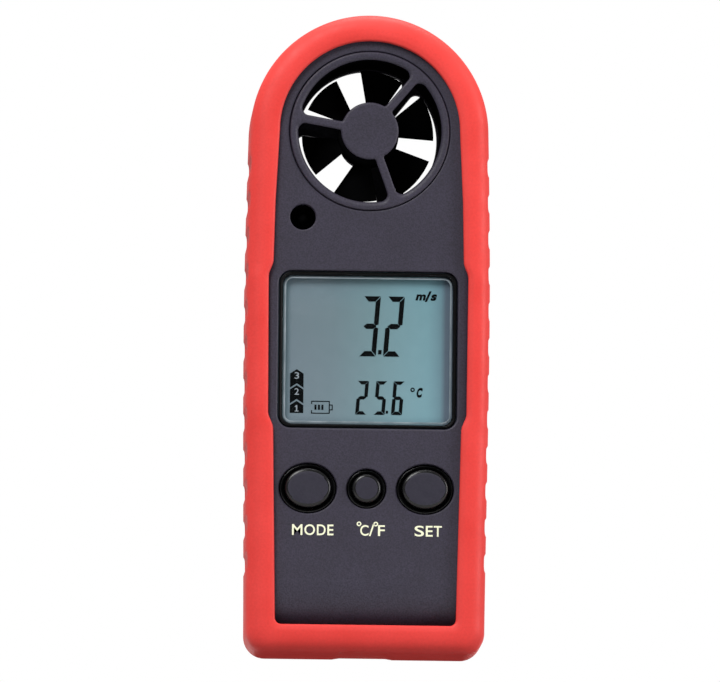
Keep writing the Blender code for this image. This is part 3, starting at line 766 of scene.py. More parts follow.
RUBBER = boot_rubber()
CASE_PLASTIC = case_plastic()
BLACK_PLASTIC = plain_plastic("black_plastic_satin", (0.0045, 0.0045, 0.005), 0.38, 0.35)
MATT_BLACK_AND_PAINTED_THROAT_SHADE = plain_plastic("black_plastic_matt_and_painted_throat_shade", (0.0028, 0.0028, 0.0031), 0.8, 0.0)
WELL_BLACK_AND_PAINTED_KEY_EDGE_SHADE = plain_plastic("gloss_black_rubber_and_painted_key_edge_shade", (0.004, 0.004, 0.0045), 0.25, 0.3)
SURROUND_BLACK = plain_plastic("surround_black", (0.0025, 0.0025, 0.003), 0.45, 0.1)
KEY_RUBBER = key_rubber()
LENS = clear_lens()
LENS_EDGE_PAINTED_HIGHLIGHT = lens_edge_painted_highlight()
DISPLAY = display_cell()
SEGMENT_INK = flat_ink("lcd_segment_black", (0.0006, 0.0014, 0.0018), 0.6, 0.05)
MARK_LIGHT = flat_ink("lcd_mark_light", linear(150, 160, 168), 0.5, 0.15)
PRINT_INK = flat_ink("legend_cream", linear(250, 251, 218), 0.55, 0.3, 0.05)
BOARD = solder_mask()
ZEBRA = zebra_stripes()
WHITE_PLASTIC = plain_plastic("diffuser_white", (0.8, 0.8, 0.76), 0.5)
STEEL = brushed_metal("steel_bright", (0.58, 0.58, 0.60), 0.28)
DARK_STEEL = brushed_metal("magnet_nickel", (0.36, 0.36, 0.38), 0.32)
BRASS = brushed_metal("brass_turned", (0.72, 0.50, 0.20), 0.3)


# ---- the boot ----


def lip_rings():
    """Rings of the boot's front half, from the cavity under the lip, out through the opening, over the
    crowned face and round the edge to the side."""
    crest_y = BOOT.y0
    rings = [at_depth(cavity(0.2), -0.5)]
    rings += layers(cavity, LIP_BACK_Y, [(0.2, 0.4), (0.05, 0.05), (-0.35, 0.0)])
    rings += layers(opening, LIP_BACK_Y, [(0.15, 0.0), (0.0, -0.12)])
    # The lip's inner edge
    inner_rise = 0.14
    for turn in spread(0, radians(78), 5):
        grow, depth = LIP_EDGE_R * (1 - cos(turn)), LIP_EDGE_R * (1 - sin(turn))
        rings.append(at_depth(opening(grow), crest_y + inner_rise + depth))
    # The face, from the inner edge over the crest and down to the side. reach is a share of the
    # way from the opening to the edge.
    edge_share = 0.14
    reaches = spread(edge_share, LIP_CREST, 6)[1:]
    reaches += between([1 - (1 - share) ** 1.9 for share in spread(0, 1, 20)[1:]], LIP_CREST, 1.0)
    inner = opening(LIP_EDGE_R)
    plain = boot_outline(0.0)
    grooved = boot_outline(1.0)
    for reach in reaches:
        if reach <= LIP_CREST:
            fall = inner_rise * ((LIP_CREST - reach) / (LIP_CREST - edge_share)) ** 2
        else:
            away = min(1.0, (reach - LIP_CREST) / (1 - LIP_CREST))
            fall = LIP_FALL * (1 - (1 - away**LIP_SHAPE) ** (1 / LIP_SHAPE))
        relief = smooth((fall - 1.3) / 1.9)
        share = (reach - edge_share) / (1 - edge_share)
        ring = []
        for (ix, iz), (px, pz), (gx, gz) in zip(inner, plain, grooved):
            ox = px + (gx - px) * relief
            oz = pz + (gz - pz) * relief
            ring.append((ix + (ox - ix) * share, crest_y + fall, iz + (oz - iz) * share))
        rings.append(ring)
    return rings + [at_depth(grooved, y) for y in (-5.0, -3.8, -2.6, -1.3)]


def make_boot():
    front = lip_rings()
    middle = [at_depth(boot_outline(1.0), 0.0)]
    back = [[(x, -y, z) for x, y, z in ring] for ring in reversed(front)]
    shell = looped(front + middle + back)
    add_piece("boot_shell", shell, RUBBER, "protective_boot", sharp=radians(50))


# ---- the case ----


def shell_rings(face_y, edge_r, chin_r, stretch, end_y):
    """The outside of a half of the case from its face to its rim at end_y, and back up inside."""
    rings = [at_depth(case_outline(edge_r + HOLD, chin_r * stretch + HOLD), face_y)]
    for _, share in quarter(14):
        depth = max(edge_r, chin_r) * share
        if face_y + depth < end_y - 0.1:
            edge = roll_back(depth, edge_r)
            chin = roll_back(depth, chin_r) * stretch
            rings.append(at_depth(case_outline(edge, max(chin, edge)), face_y + depth))
    rings.append(at_depth(case_outline(0.0, 0.0), end_y))
    rings.append(at_depth(case_outline(CASE_WALL, CASE_WALL), end_y))
    inner_chin = max(chin_r - CASE_WALL, 0.5)
    for share in (1.0, 0.6, 0.3, 0.1, 0.0):
        depth = inner_chin * share
        inset, foot_rise = (CASE_WALL + roll_back(depth, radius) for radius in (0.1, inner_chin))
        rings.append(at_depth(case_outline(inset, foot_rise), face_y + CASE_WALL + depth))
    return rings


def screw_posts(places, radius, bore, from_y, to_y):
    """Hollow posts on the inside of a shell, for screws. They start inside the shell's wall."""
    profile = [(radius + 0.2, from_y), (radius, from_y + 0.6), (radius, to_y)]
    profile += [(bore + 0.15, to_y), (bore, to_y + 0.15), (bore, from_y)]
    return [looped(turned_rings(profile, place.x, place.z, 32)) for place in places.values()]


def guard_seat(face_y):
    """The round hole that a guard drops into, with the ledge it rests on."""
    ledge_y = face_y + 1.25
    rings = wall(circle(FAN_X, FAN_Z, GUARD_R + 0.1, 144), -1, face_y, ledge_y, 0.3)
    return rings + fan_rings([(LEDGE_R, ledge_y), (LEDGE_R, face_y + CASE_WALL)])


def make_front_shell():
    inside_y = FACE_Y + CASE_WALL
    holes = [
        guard_seat(FACE_Y),
        wall(round_node(GASKET, SURROUND_R + 0.2, 0.4), -1, FACE_Y, inside_y, 0.35),
        wall(circle(SLEEVE.x, SLEEVE.z, 2.3, 64), -1, FACE_Y, inside_y, 0.25),
    ]
    for name, key in KEYS.items():
        holes.append(wall(ellipse(key.x, key.z, *WELL_HALVES[name]), -1, FACE_Y, inside_y, 0.3))
    outside = shell_rings(FACE_Y, FRONT_EDGE_R, CHIN_R, CHIN_STRETCH, FRONT_CASE.y1)
    posts = screw_posts(CASE_SCREWS, 1.9, 0.95, -5.6, -0.3)
    posts += screw_posts(BOARD_SCREWS, 1.6, 0.8, inside_y - 0.2, Place("main_board").y0 - 0.2)
    add_piece("front_shell", merged([solid(outside, holes), *posts]), CASE_PLASTIC, "front_case")


def make_rear_shell():
    # Built facing -Y like the front one, then flipped.
    face = -REAR_CASE.y1
    inside_y = face + CASE_WALL
    door_height = 27.5
    door_z = DOOR.z0 + door_height / 2 - 0.3
    door_hole = rounded_rectangle(0, door_z, DOOR.width + 0.6, door_height, 1.2)
    holes = [guard_seat(face), wall(door_hole, -1, face, inside_y, 0.3)]
    counterbore = [(1.95 + HOLD, face), (1.95, face), (1.78, face + 0.07), (1.7, face + 0.25)]
    counterbore += [(1.7, -6.75), (1.0, -6.75), (1.0, inside_y)]
    holes += [turned_rings(counterbore, place.x, place.z, 48) for place in CASE_SCREWS.values()]
    label = rounded_rectangle(0, 58.1, 24.0, 30.0, 2.2)
    steps = [(0.2 + HOLD, 0), (0.2, 0), (0.06, 0.06), (0, 0.2), (0, 0.28), (-0.06, 0.35), (-0.3, 0.35)]
    outside = shell_rings(face, REAR_EDGE_R, REAR_EDGE_R, 1.0, -REAR_CASE.y0)
    posts = screw_posts(CASE_SCREWS, 2.2, 1.0, inside_y - 0.1, -0.35)
    shell = flipped(merged([solid(outside, holes, front=[layers(label, face, steps)]), *posts]))
    add_piece("rear_shell", shell, CASE_PLASTIC, "rear_case")


# ---- the fan ----


def make_guard(end_name, face, radii, half_width, angles):
    """A spoked guard with rounded spokes, and a post behind its hub that holds the bearing. It faces
    -Y, and is flipped for the back."""
    back = face > 0
    face = -abs(face)
    inner_y = face + GUARD_PLATE
    rim_y = face + 1.15
    outside = wall(circle(FAN_X, FAN_Z, GUARD_R, 144), 1, face, rim_y, 0.35)
    outside += fan_rings([(LEDGE_R - 0.1, rim_y), (LEDGE_R - 0.1, inner_y)])
    ring_r = 0.85
    spoke_r = 0.42
    grown = [(ring_r + HOLD, spoke_r + HOLD, face)]
    for depth in (ring_r * share for _, share in quarter(7)):
        grown.append((roll_back(depth, ring_r), roll_back(depth, spoke_r), face + depth))
    grown += [(0.0, 0.0, inner_y - 0.15), (0.1, 0.1, inner_y)]
    windows = []
    for start, stop in zip(angles, (*angles[1:], angles[0] + 360)):
        edges = (radii, half_width, start, stop)
        windows.append([at_depth(guard_window(*edges, ring, spoke), y) for ring, spoke, y in grown])
    r, bore_r, end = 2.7, 1.75, -3.9
    profile = [(r + 0.4, inner_y), (r, inner_y + 0.5), (r, end - 0.2), (r - 0.2, end)]
    post = fan_rings(profile + [(bore_r, end), (bore_r, -6.3)], 48)
    guard = solid(outside, windows, back=[post])
    guard = flipped(guard) if back else guard
    looks = [CASE_PLASTIC, MATT_BLACK_AND_PAINTED_THROAT_SHADE]
    grid = add_piece(f"fan_guard_{end_name}", guard, looks, f"{end_name}_guard")
    # The walls of the windows get the tunnel's matt black as painted shade; the guard's own plastic is
    # grey.
    axis = Vector((FAN_X, FAN_Z))
    reach = LEDGE_R - 0.3
    use_second_look(
        grid, lambda face: abs(face.normal.y) < 0.35 and (face.center.xz / MM - axis).length < reach
    )


def make_tunnel():
    """The smooth tube that the wheel turns in, with a bead at each end."""
    r = 0.35
    outer, inner, end = DUCT.width / 2 - r, DUCT_BORE_R + r, DUCT.y1 - r
    profile = []
    for cx, cy, start in ((outer, end, 0), (inner, end, 90), (inner, -end, 180), (outer, -end, 270)):
        profile += arc(cx, cy, r, start, start + 90, 4)
    add_piece("fan_tunnel", looped(fan_rings(profile)), MATT_BLACK_AND_PAINTED_THROAT_SHADE, "fan_duct")


def vane(turn):
    """One blade of the wheel: a pitched sheet between two straight edges that miss the axis a
    little, the anticlockwise one in front. It is thinned and rounded at its rims."""
    shares = [-cos(a) for a in spread(0, pi, 16)]
    stations = [(r, 1.0) for r in spread(BLADE_ROOT_R, BLADE_TIP_R - 0.25, 11)]
    stations += [(BLADE_TIP_R - 0.1, 0.85), (BLADE_TIP_R, 0.45)]
    rings = []
    for r, swell in stations:
        edges = (BLADE_REAR_EDGE, BLADE_FRONT_EDGE)
        rear, front = (radians(at + turn) + asin(miss / r) for at, miss in edges)
        ring = []
        for side, row in ((-1, shares), (1, shares[-2:0:-1])):
            for share in row:
                a = rear + (front - rear) * (share + 1) / 2
                thick = BLADE_HALF_THICKNESS * swell * max(0.02, 1 - abs(share) ** 12) ** 0.5
                y = BLADE_MIDDLE_Y - BLADE_HALF_RISE * share + side * thick
                ring.append((FAN_X + r * cos(a), y, FAN_Z + r * sin(a)))
        rings.append(ring)
    return solid(rings)


def make_wheel():
    hub_r, nose_r = 5.4, 0.7
    front, back = WHEEL.y0, WHEEL.y1
    profile = [(0.75, front), (hub_r - 1.0, front)]
    profile += [(hub_r - nose_r * inset, front + nose_r * depth) for inset, depth in quarter(6)]
    profile += [(hub_r, back - 0.2), (hub_r - 0.2, back), (3.9, back), (3.7, back - 0.2)]
    hub = looped(fan_rings(profile + [(3.7, 1.0), (0.75, 1.0)], 96))
    wheel = add_piece("vane_wheel", hub, MATT_BLACK_AND_PAINTED_THROAT_SHADE, "impeller", body="rotor")
    union(wheel, [vane(360 / BLADES * i) for i in range(BLADES)])


def make_bush(name, node, bore_r, bore_cut, material, body, steps):
    """A short turned ring with chamfered edges."""
    place = Place(node)
    r, cut = place.width / 2, 0.15
    outer = [(r - cut, place.y0), (r, place.y0 + cut), (r, place.y1 - cut), (r - cut, place.y1)]
    inner = [(bore_r + bore_cut, place.y1), (bore_r, place.y1 - bore_cut)]
    inner += [(bore_r, place.y0 + bore_cut), (bore_r + bore_cut, place.y0)]
    add_piece(name, looped(fan_rings(outer + inner, steps)), material, node, body=body)


def make_shaft():
    place = Place("impeller_shaft")
    r, end = place.width / 2, place.y1
    half = [(r - 0.45, end), (r - 0.25, end - 0.08), (r, end - 0.4)]
    profile = [(radius, -y) for radius, y in half] + half[::-1]
    add_piece("wheel_pin", solid(fan_rings(profile, 48)), STEEL, "impeller_shaft", body="rotor")
    make_bush("ring_magnet", "rotor_magnet", 0.85, 0.15, DARK_STEEL, "rotor", 96)
    for node in ("front_bearing", "rear_bearing"):
        make_bush(f"{node}_bush", node, 0.66, 0.2, BRASS, "body", 64)


def make_sensor():
    x, z = SLEEVE.x, SLEEVE.z
    front, back, r = SLEEVE.y0, SLEEVE.y1, SLEEVE.width / 2
    profile = [(r - 0.15 - HOLD, front), (r - 0.15, front), (r, front + 0.15), (r, back - 0.15)]
    outside = turned_rings(profile + [(r - 0.15, back)], x, z, 64)
    profile = [(2.55, front), (2.4, front + 0.05), (2.3, front + 0.25), (2.3, -4.1), (2.1, -3.9)]
    cup = turned_rings(profile + [(1.9, -3.9)], x, z, 64)
    add_piece("sensor_well", solid(outside, front=[cup]), MATT_BLACK_AND_PAINTED_THROAT_SHADE, "sensor_sleeve")
    r = BEAD.width / 2
    middle = BEAD.y0 + r
    profile = [(r * sin(a), middle - r * cos(a) * 1.05) for a in spread(0, pi, 16)[1:-1]]
    bulb = add_piece("sensor_bead", solid(turned_rings(profile, x, z, 48)), MATT_BLACK_AND_PAINTED_THROAT_SHADE, "thermistor")
    leads = [turned_rings([(0.2, middle + 0.3), (0.2, -4.05)], x + dx, z, 16) for dx in (-0.45, 0.45)]
    union(bulb, [solid(rings) for rings in leads])


# ---- the display ----


def make_display():
    outside = wall(round_node(GASKET, SURROUND_R), 1, GASKET.y0, GASKET.y1, 0.2)
    # The frame's face slopes in to the window.
    slope = [(0.42 + HOLD, 0.0), (0.42, 0.0), (0.33, 0.03), (0.22, 0.12), (0.06, 0.45), (0.0, 0.62)]
    view = rounded_rectangle(GASKET.x, GASKET.z, *VIEW)
    surround = solid(outside, [layers(view, GASKET.y0, slope + [(0.0, GASKET.depth)])])
    add_piece("display_surround", surround, SURROUND_BLACK, "window_gasket")
    chamfer = [(-0.36, 0.0), (0.0, 0.3), (0.0, WINDOW.depth)]
    window = solid(layers(round_node(WINDOW, WINDOW_R), WINDOW.y0, chamfer))
    lens = add_piece("display_lens", window, [LENS, LENS_EDGE_PAINTED_HIGHLIGHT], "lcd_window")
    # The chamfer's faces get the painted highlight.
    use_second_look(lens, lambda face: abs(face.normal.y) < 0.95)
    # Two sheets of glass, the rear one longer at the foot where the contacts are
    ledge = 2.4
    width, height = LCD.width, LCD.height
    front = rounded_rectangle(LCD.x, LCD.z + ledge / 4, width - 0.2, height - ledge / 2, 0.25, 3)
    rear = rounded_rectangle(LCD.x, LCD.z, width, height, 0.25, 3)
    split = LCD.y0 + LCD.depth * 0.5
    sheets = ((front, LCD.y0), (front, split), (rear, split), (rear, LCD.y1))
    add_piece("lcd_cell", solid([at_depth(shape(), y) for shape, y in sheets]), DISPLAY, "lcd_panel")


def sheared(points, slant, x, z):
    """Points leaning to the right by slant, measured from (x, z)."""
    return [(x + px + slant * pz, z + pz) for px, pz in points]


def seven_segments(lit, width, height, upright, level, gap):
    """The lit segments of a digit, named a to g as usual, as outlines with mitred ends."""
    mid = height / 2
    half = level / 2
    tip = upright * 0.42
    left, right = upright + gap, width - upright - gap
    foot = [(gap, 0), (width - gap, 0), (right, level), (left, level)]
    side = [
        (width, height - gap * 1.6),
        (width, mid + half * 0.7),
        (width - upright * 0.62, mid + gap * 1.7),
        (width - upright, mid + half + gap),
        (width - upright, height - level - gap * 0.9),
    ]
    shapes = {
        "a": [(x, height - z) for x, z in foot],
        "b": side,
        "c": [(x, height - z) for x, z in side],
        "d": foot,
        "e": [(width - x, height - z) for x, z in side],
        "f": [(width - x, z) for x, z in side],
        "g": [
            (tip, mid), (left, mid + half), (right, mid + half),
            (width - tip, mid), (right, mid - half), (left, mid - half),
        ],
    }
    return [shapes[name] for name in lit]


SEGMENTS = {"2": "abged", "3": "abgcd", "5": "afgcd", "6": "afgecd"}


def glyph(character, x0, x1, z0, z1, weight, slant=0.0):
    """A character's filled outline fitted to a box, as points in the XZ plane and faces."""
    curve = bpy.data.curves.new("glyph", "FONT")
    curve.body = character
    curve.offset = weight
    curve.fill_mode = "FRONT"
    curve.resolution_u = 6
    holder = linked("glyph", curve)
    mesh = evaluated_mesh(holder)
    bpy.data.objects.remove(holder)
    bpy.data.curves.remove(curve)
    xs, ys = ([vertex.co[axis] for vertex in mesh.vertices] for axis in (0, 1))
    placed = []
    for px, py in zip(xs, ys):
        rise = (z1 - z0) * (py - min(ys)) / (max(ys) - min(ys))
        run = (x1 - x0) * (px - min(xs)) / (max(xs) - min(xs))
        placed.append((x0 + run + slant * rise, z0 + rise))
    faces = [tuple(face.vertices) for face in mesh.polygons]
    bpy.data.meshes.remove(mesh)
    return placed, faces


def degree_ring(x, z, outer_r, inner_r, front_y, back_y):
    sides = ((outer_r, front_y), (outer_r, back_y), (inner_r, back_y), (inner_r, front_y))
    return looped(turned_rings(sides, x, z, 32))


def inked(shapes, glyphs, front_y, back_y):
    """A bmesh of flat marks between two depths: outlines, and glyphs as points and faces."""
    solids = [slab(shape, front_y, back_y) for shape in shapes]
    for points, faces in glyphs:
        bm = bmesh.new()
        verts = [bm.verts.new(point) for point in at_depth(points, back_y)]
        for face in faces:
            corners = [verts[i] for i in face]
            if not bm.faces.get(corners):
                bm.faces.new(corners)
        bmesh.ops.remove_doubles(bm, verts=bm.verts, dist=1e-5)
        result = bmesh.ops.extrude_face_region(bm, geom=list(bm.faces))
        for item in result["geom"]:
            if isinstance(item, bmesh.types.BMVert):
                item.co.y = front_y
        bmesh.ops.recalc_face_normals(bm, faces=bm.faces)
        solids.append(bm)
    return merged(solids)


def make_readout():
    """The liquid crystal's dark marks, as thin shapes on the glass."""
    front, back = LCD.y0 - 0.03, LCD.y0 + 0.01
    cx, cz = LCD.x, LCD.z
    slant = 0.076
    big = {"width": 3.0, "height": 10.8, "upright": 0.82, "level": 0.95, "gap": 0.08}
    small = {"width": 1.96, "height": 6.05, "upright": 0.62, "level": 0.62, "gap": 0.04}
    for name, size, z, digits, point in (
        ("speed", big, -0.98, (("3", -1.50), ("2", 2.78)), (1.88, -0.60, 0.62, 0.78)),
        ("temperature", small, -11.45, (("2", -2.08), ("5", 1.21), ("6", 4.30)), (3.36, -11.2, 0.4, 0.5)),
    ):
        shapes = []
        for digit, x in digits:
            for shape in seven_segments(SEGMENTS[digit], **size):
                shapes.append(sheared(shape, slant, cx + x, cz + z))
        point_x, point_z, width, height = point
        shapes.append(sheared(bar(0, width, 0, height), slant, cx + point_x, cz + point_z))
        add_piece(f"lcd_{name}_digits", inked(shapes, [], front, back), SEGMENT_INK)
    lean = 0.24
    glyphs = [
        glyph("m", cx + 8.50, cx + 10.20, cz + 9.18, cz + 10.28, 0.045, lean),
        glyph("/", cx + 10.15, cx + 11.20, cz + 8.95, cz + 10.85, 0.03, lean * 0.4),
        glyph("s", cx + 11.15, cx + 12.15, cz + 9.14, cz + 10.32, 0.045, lean),
        glyph("C", cx + 8.72, cx + 9.70, cz - 8.27, cz - 6.50, 0.06, 0.17),
    ]
    degree = degree_ring(cx + 8.14, cz - 6.88, 0.40, 0.18, front, back)
    add_piece("lcd_units", merged([inked([], glyphs, front, back), degree]), SEGMENT_INK)
    make_level_stack(front, back)
    make_battery_symbol(front, back)


def make_level_stack(front, back):
    """Three stacked arrows with pale numerals, which show the wind's strength."""
    x = LCD.x - 12.55
    half = 1.2
    foot = LCD.z - 11.3
    roof = 0.78
    arrows = []
    numerals = []
    lower = [(x - half, foot), (x + half, foot)]
    for i, height in enumerate((2.17, 4.99, 7.85)):
        top = foot + height
        shoulder = top - roof
        arrows.append(lower + [(x + half, shoulder), (x, top), (x - half, shoulder)])
        peak = top + 0.34
        eaves = peak - roof * 1.02
        lower = [(x - half, eaves), (x, peak), (x + half, eaves)]
        if i > 0:
            low = shoulder - 0.95
            numerals.append(glyph(str(i + 1), x - 0.4, x + 0.4, low, low + 1.18, 0.008))
    # A "1" with a flag and a foot
    one = [
        (-0.3, 0.0), (0.34, 0.0), (0.34, 0.16), (0.13, 0.16), (0.13, 1.15), (-0.06, 1.15),
        (-0.3, 0.93), (-0.3, 0.76), (-0.09, 0.88), (-0.09, 0.16), (-0.3, 0.16),
    ]
    add_piece("lcd_level_arrows", inked(arrows, [], front, back), SEGMENT_INK)
    marks = inked([sheared(one, 0.0, x, foot + 0.26)], numerals, front - 0.02, front + 0.005)
    add_piece("lcd_level_numerals", marks, MARK_LIGHT)


def make_battery_symbol(front, back):
    x0, x1 = LCD.x - 9.95, LCD.x - 6.62
    z0, z1 = LCD.z - 11.38, LCD.z - 9.08
    line = 0.17
    corner = 0.6
    mid = (z0 + z1) / 2
    nub_x = x1 + 0.35
    nub = 0.52
    shapes = [
        bar(x0, x1, z1 - line, z1),
        bar(x0, x1, z0, z0 + line),
        bar(x0, x0 + line, z1 - corner, z1 - line),
        bar(x0, x0 + line, z0 + line, z0 + corner),
        bar(x1 - line, x1, z0 + line, z1 - line),
        bar(x1, nub_x, mid + nub - line, mid + nub),
        bar(x1, nub_x, mid - nub, mid - nub + line),
        bar(nub_x, nub_x + line, mid - nub, mid + nub),
    ]
    for left in (x0 + 0.6, x0 + 1.22, x0 + 1.84):
        shapes.append(bar(left, left + 0.36, mid - 0.46, mid + 0.46))
    add_piece("lcd_battery_symbol", inked(shapes, [], front, back), SEGMENT_INK)


# ---- the keys ----


def oval_rings(place, halves, stations):
    """Rings about a place from stations of (y, growth beyond the half widths)."""
    shape = ellipse(place.x, place.z, *halves)
    return [at_depth(shape(grow), y) for y, grow in stations]


def make_key(name):
    """A key: a rounded cap on a stem, with a flange under the case."""
    key = KEYS[name]
    rx, rz = CAP_HALVES[name]
    edge_x, edge_z = (0.72, 0.72) if name == "unit" else (0.62, 1.05)
    fall = 0.5
    face = (rx - edge_x, rz - edge_z)
    rings = oval_rings(key, face, [(key.y0, -0.5), (key.y0, -HOLD)])
    for inset, depth in quarter(7):
        shape = ellipse(key.x, key.z, rx - edge_x * inset, rz - edge_z * inset)
        rings.append(at_depth(shape(), key.y0 + fall * depth))
    flange = [(-5.15, 0.0), (-5.1, 0.05), (-5.1, 0.4), (-5.0, 0.5), (-4.5, 0.5), (-4.4, 0.4)]
    rings += oval_rings(key, (rx, rz), flange)
    rings += turned_rings([(1.3, -4.4), (1.2, -4.3), (1.2, -3.7), (1.1, -3.6)], key.x, key.z, 72)
    looks = [KEY_RUBBER, WELL_BLACK_AND_PAINTED_KEY_EDGE_SHADE]
    button = add_piece(f"key_{name}", solid(rings), looks, f"{name}_button", body=f"{name}_key")
    # Only the top keeps the matt key rubber; the sides get the wells' glossy black as painted shade on
    # the cap's rounded edge.
    use_second_look(button, lambda face: face.normal.y > -cos(radians(12)))


def make_key_mat():
    """The rubber sheet whose glossy collars line the wells round the keys."""
    sheet_y = -6.3
    top = MAT.y0
    rise = [
        (sheet_y, -0.15), (sheet_y - 0.05, -0.2), (top + 0.15, -0.2), (top + 0.04, -0.24), (top, -0.35),
        (top + 0.08, -0.5), (top + 0.35, -0.68),
    ]
    bore = [(top + 0.55, 0.26), (top + 0.7, 0.2), (MAT.y1, 0.2)]
    collars = [
        oval_rings(key, WELL_HALVES[name], rise) + oval_rings(key, CAP_HALVES[name], bore)
        for name, key in KEYS.items()
    ]
    outside = wall(round_node(MAT, 1.0), 1, sheet_y, MAT.y1, 0.15)
    add_piece("key_collars", solid(outside, collars), WELL_BLACK_AND_PAINTED_KEY_EDGE_SHADE, "keypad_mat")


def make_legends():
    """The words printed under the keys."""
    front, back = FACE_Y - 0.02, FACE_Y + 0.01
    low = KEYS["mode"].z - 8.42
    high = low + 1.92
    words = {
        "mode": [("M", -13.2, -11.34), ("O", -11.0, -9.1), ("D", -8.76, -7.2), ("E", -6.9, -5.8)],
        "set": [("S", 8.65, 10.32), ("E", 10.64, 11.88), ("T", 12.05, 13.51)],
        "unit": [("C", -1.05, 0.45), ("F", 2.12, 3.34)],
    }
    for name, letters in words.items():
        glyphs = [glyph(letter, x0, x1, low, high, 0.011) for letter, x0, x1 in letters]
        parts = [inked([], glyphs, front, back)]
        if name == "unit":
            stroke = [(0.50, low - 0.05), (0.80, low - 0.05), (1.50, high + 0.2), (1.20, high + 0.2)]
            parts.append(slab(stroke, front, back))
            parts += [degree_ring(x, high + 0.2, 0.42, 0.2, front, back) for x in (-1.27, 1.72)]
        add_piece(f"legend_{name}", merged(parts), PRINT_INK)


# ---- battery, board and screws ----


def make_door():
    """The battery door, with a thumb dent, grip ribs, two hooks and a latch tongue."""
    x = DOOR.x
    face, inner = -DOOR.y1, -6.6
    low, high = DOOR.z0, DOOR.z0 + 26.9
    panel = rounded_rectangle(x, (low + high) / 2, DOOR.width, high - low, 1.0)
    dent = [(HOLD, 0), (0, 0), (-0.2, 0.06), (-0.44, 0.2), (-0.8, 0.38), (-1.3, 0.52), (-1.8, 0.58)]
    rib = [(HOLD, 0.0), (0.0, 0.0), (-0.04, 0.12), (-0.1, 0.2), (-0.2, 0.26), (-0.3, 0.28)]
    hollows = [layers(ellipse(x, low + 6.0, 5.0, 2.6), face, dent + [(-2.2, 0.6)])]
    for z in (11.0, 12.5, 14.0):
        hollows.append(layers(rounded_rectangle(x, low + z, 9.0, 0.7, 0.34, 4), face, rib))
    sections = (  # (y, z) at the lower and the upper edge of each section of a hook
        ((inner, high - 2.5), (inner, high - 0.8)),
        ((-5.4, high - 2.3), (-6.1, high - 0.8)),
        ((-5.4, high + 1.4), (-6.1, high + 1.6)),
    )
    hooks = []
    for middle in (x - 8.0, x + 8.0):
        left, right = middle - 1.5, middle + 1.5
        hooks.append([[(left, *a), (right, *a), (right, *b), (left, *b)] for a, b in sections])
    tongue = [
        at_depth(bar(x - half, x + half, low + 0.3, low + 1.2), y)
        for half, y in ((3.0, inner), (3.0, -5.2), (2.7, -4.8))
    ]
    outside = wall(panel, 1, face, inner, 0.3, 0.1)
    door = flipped(solid(outside, front=hollows, back=hooks + [tongue]))
    add_piece("battery_cover", door, CASE_PLASTIC, "battery_door", body="door")


def make_cell():
    """A coin cell: a rim, a stepped face and a plus sign pressed into its positive side."""
    face, back = -CELL.y1, -CELL.y0
    r = CELL.width / 2
    profile = [(r - 0.35 - HOLD, face), (r - 0.35, face), (r - 0.12, face + 0.08), (r, face + 0.3)]
    profile += [(r, back - 0.75), (r - 0.12, back - 0.6), (r - 0.75, back - 0.5), (r - 0.85, back - 0.1)]
    outside = turned_rings(profile + [(r - 1.0, back)], CELL.x, CELL.z, 128)
    plus = scaled(cross(1.7, 0.28), CELL.x, CELL.z + 5.6, ((1.0, face), (0.93, face + 0.09)))
    add_piece("button_cell", flipped(solid(outside, front=[plus])), STEEL, "coin_cell")


def make_holder():
    """The cell's tray, with a rounded rim."""
    face, floor = -HOLDER.y1, -0.3
    tray = rounded_rectangle(HOLDER.x, HOLDER.z, HOLDER.width, HOLDER.width, 1.5)
    profile = [(10.65 + HOLD, face), (10.65, face), (10.45, face + 0.1), (10.4, face + 0.3)]
    profile += [(10.4, floor - 0.2), (10.2, floor)]
    pocket = turned_rings(profile, HOLDER.x, CELL.z, 128)
    tray = flipped(solid(wall(tray, 1, face, -HOLDER.y0, 0.25), front=[pocket]))
    add_piece("cell_tray", tray, BLACK_PLASTIC, "battery_holder")


def make_screw(name, place, head_r, head_y, shank_r):
    """A pan-head screw with a cross recess and a threaded shank, head towards +Y."""
    face, tip = -place.y1, -place.y0
    profile = [(head_r * 0.62, face), (head_r * 0.8, face + 0.08), (head_r * 0.94, face + 0.25)]
    profile += [(head_r, face + 0.5), (head_r, -head_y)]
    pitch = 0.7
    y = -head_y
    while y < tip - pitch:
        profile += [(shank_r - 0.12, y + 0.02), (shank_r, y + pitch * 0.5)]
        y += pitch
    profile += [(shank_r * 0.7, tip - 0.25), (shank_r * 0.35, tip)]
    outside = turned_rings(profile, place.x, place.z, 48)
    slots = cross(head_r * 0.55, head_r * 0.13)
    recess = scaled(slots, place.x, place.z, ((1.0, face), (0.75, face + 0.45)))
    add_piece(f"{name}_steel", flipped(solid(outside, front=[recess])), STEEL, name)


def make_screws():
    for corner in CORNERS:
        make_screw(f"case_screw_{corner}", CASE_SCREWS[corner], 1.5, 6.9, 0.8)
        make_screw(f"board_screw_{corner}", BOARD_SCREWS[corner], 1.3, -1.0, 0.65)


def dress_cad_nodes():
    """The inner CAD nodes that stay as they are get their materials."""
    black = ("controller_chip", "speed_sensor", "lcd_frame")
    bright = ["clock_crystal", "positive_contact", "negative_contact", *(f"{name}_dome" for name in KEYS)]
    looks = {"main_board": BOARD, "backlight_panel": WHITE_PLASTIC, "zebra_connector": ZEBRA}
    looks |= dict.fromkeys(black, BLACK_PLASTIC) | dict.fromkeys(bright, STEEL)
    for name, material in looks.items():
        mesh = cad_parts[name].data
        mesh.materials.clear()
        mesh.materials.append(material)


# ---- the stage ----


def area_light(name, place, width, height, power):
    """A soft rectangular light that faces the object's middle; all in millimetres."""
    data = bpy.data.lights.new(name, "AREA")
    data.shape = "RECTANGLE"
    data.size = width * MM
    data.size_y = height * MM
    data.energy = power
    light = linked(name, data)
    light.location = Vector(place) * MM
    light.rotation_mode = "QUATERNION"
    light.rotation_quaternion = (Vector((0.0, 0.0, 57.0)) - Vector(place)).to_track_quat("-Z", "Y")


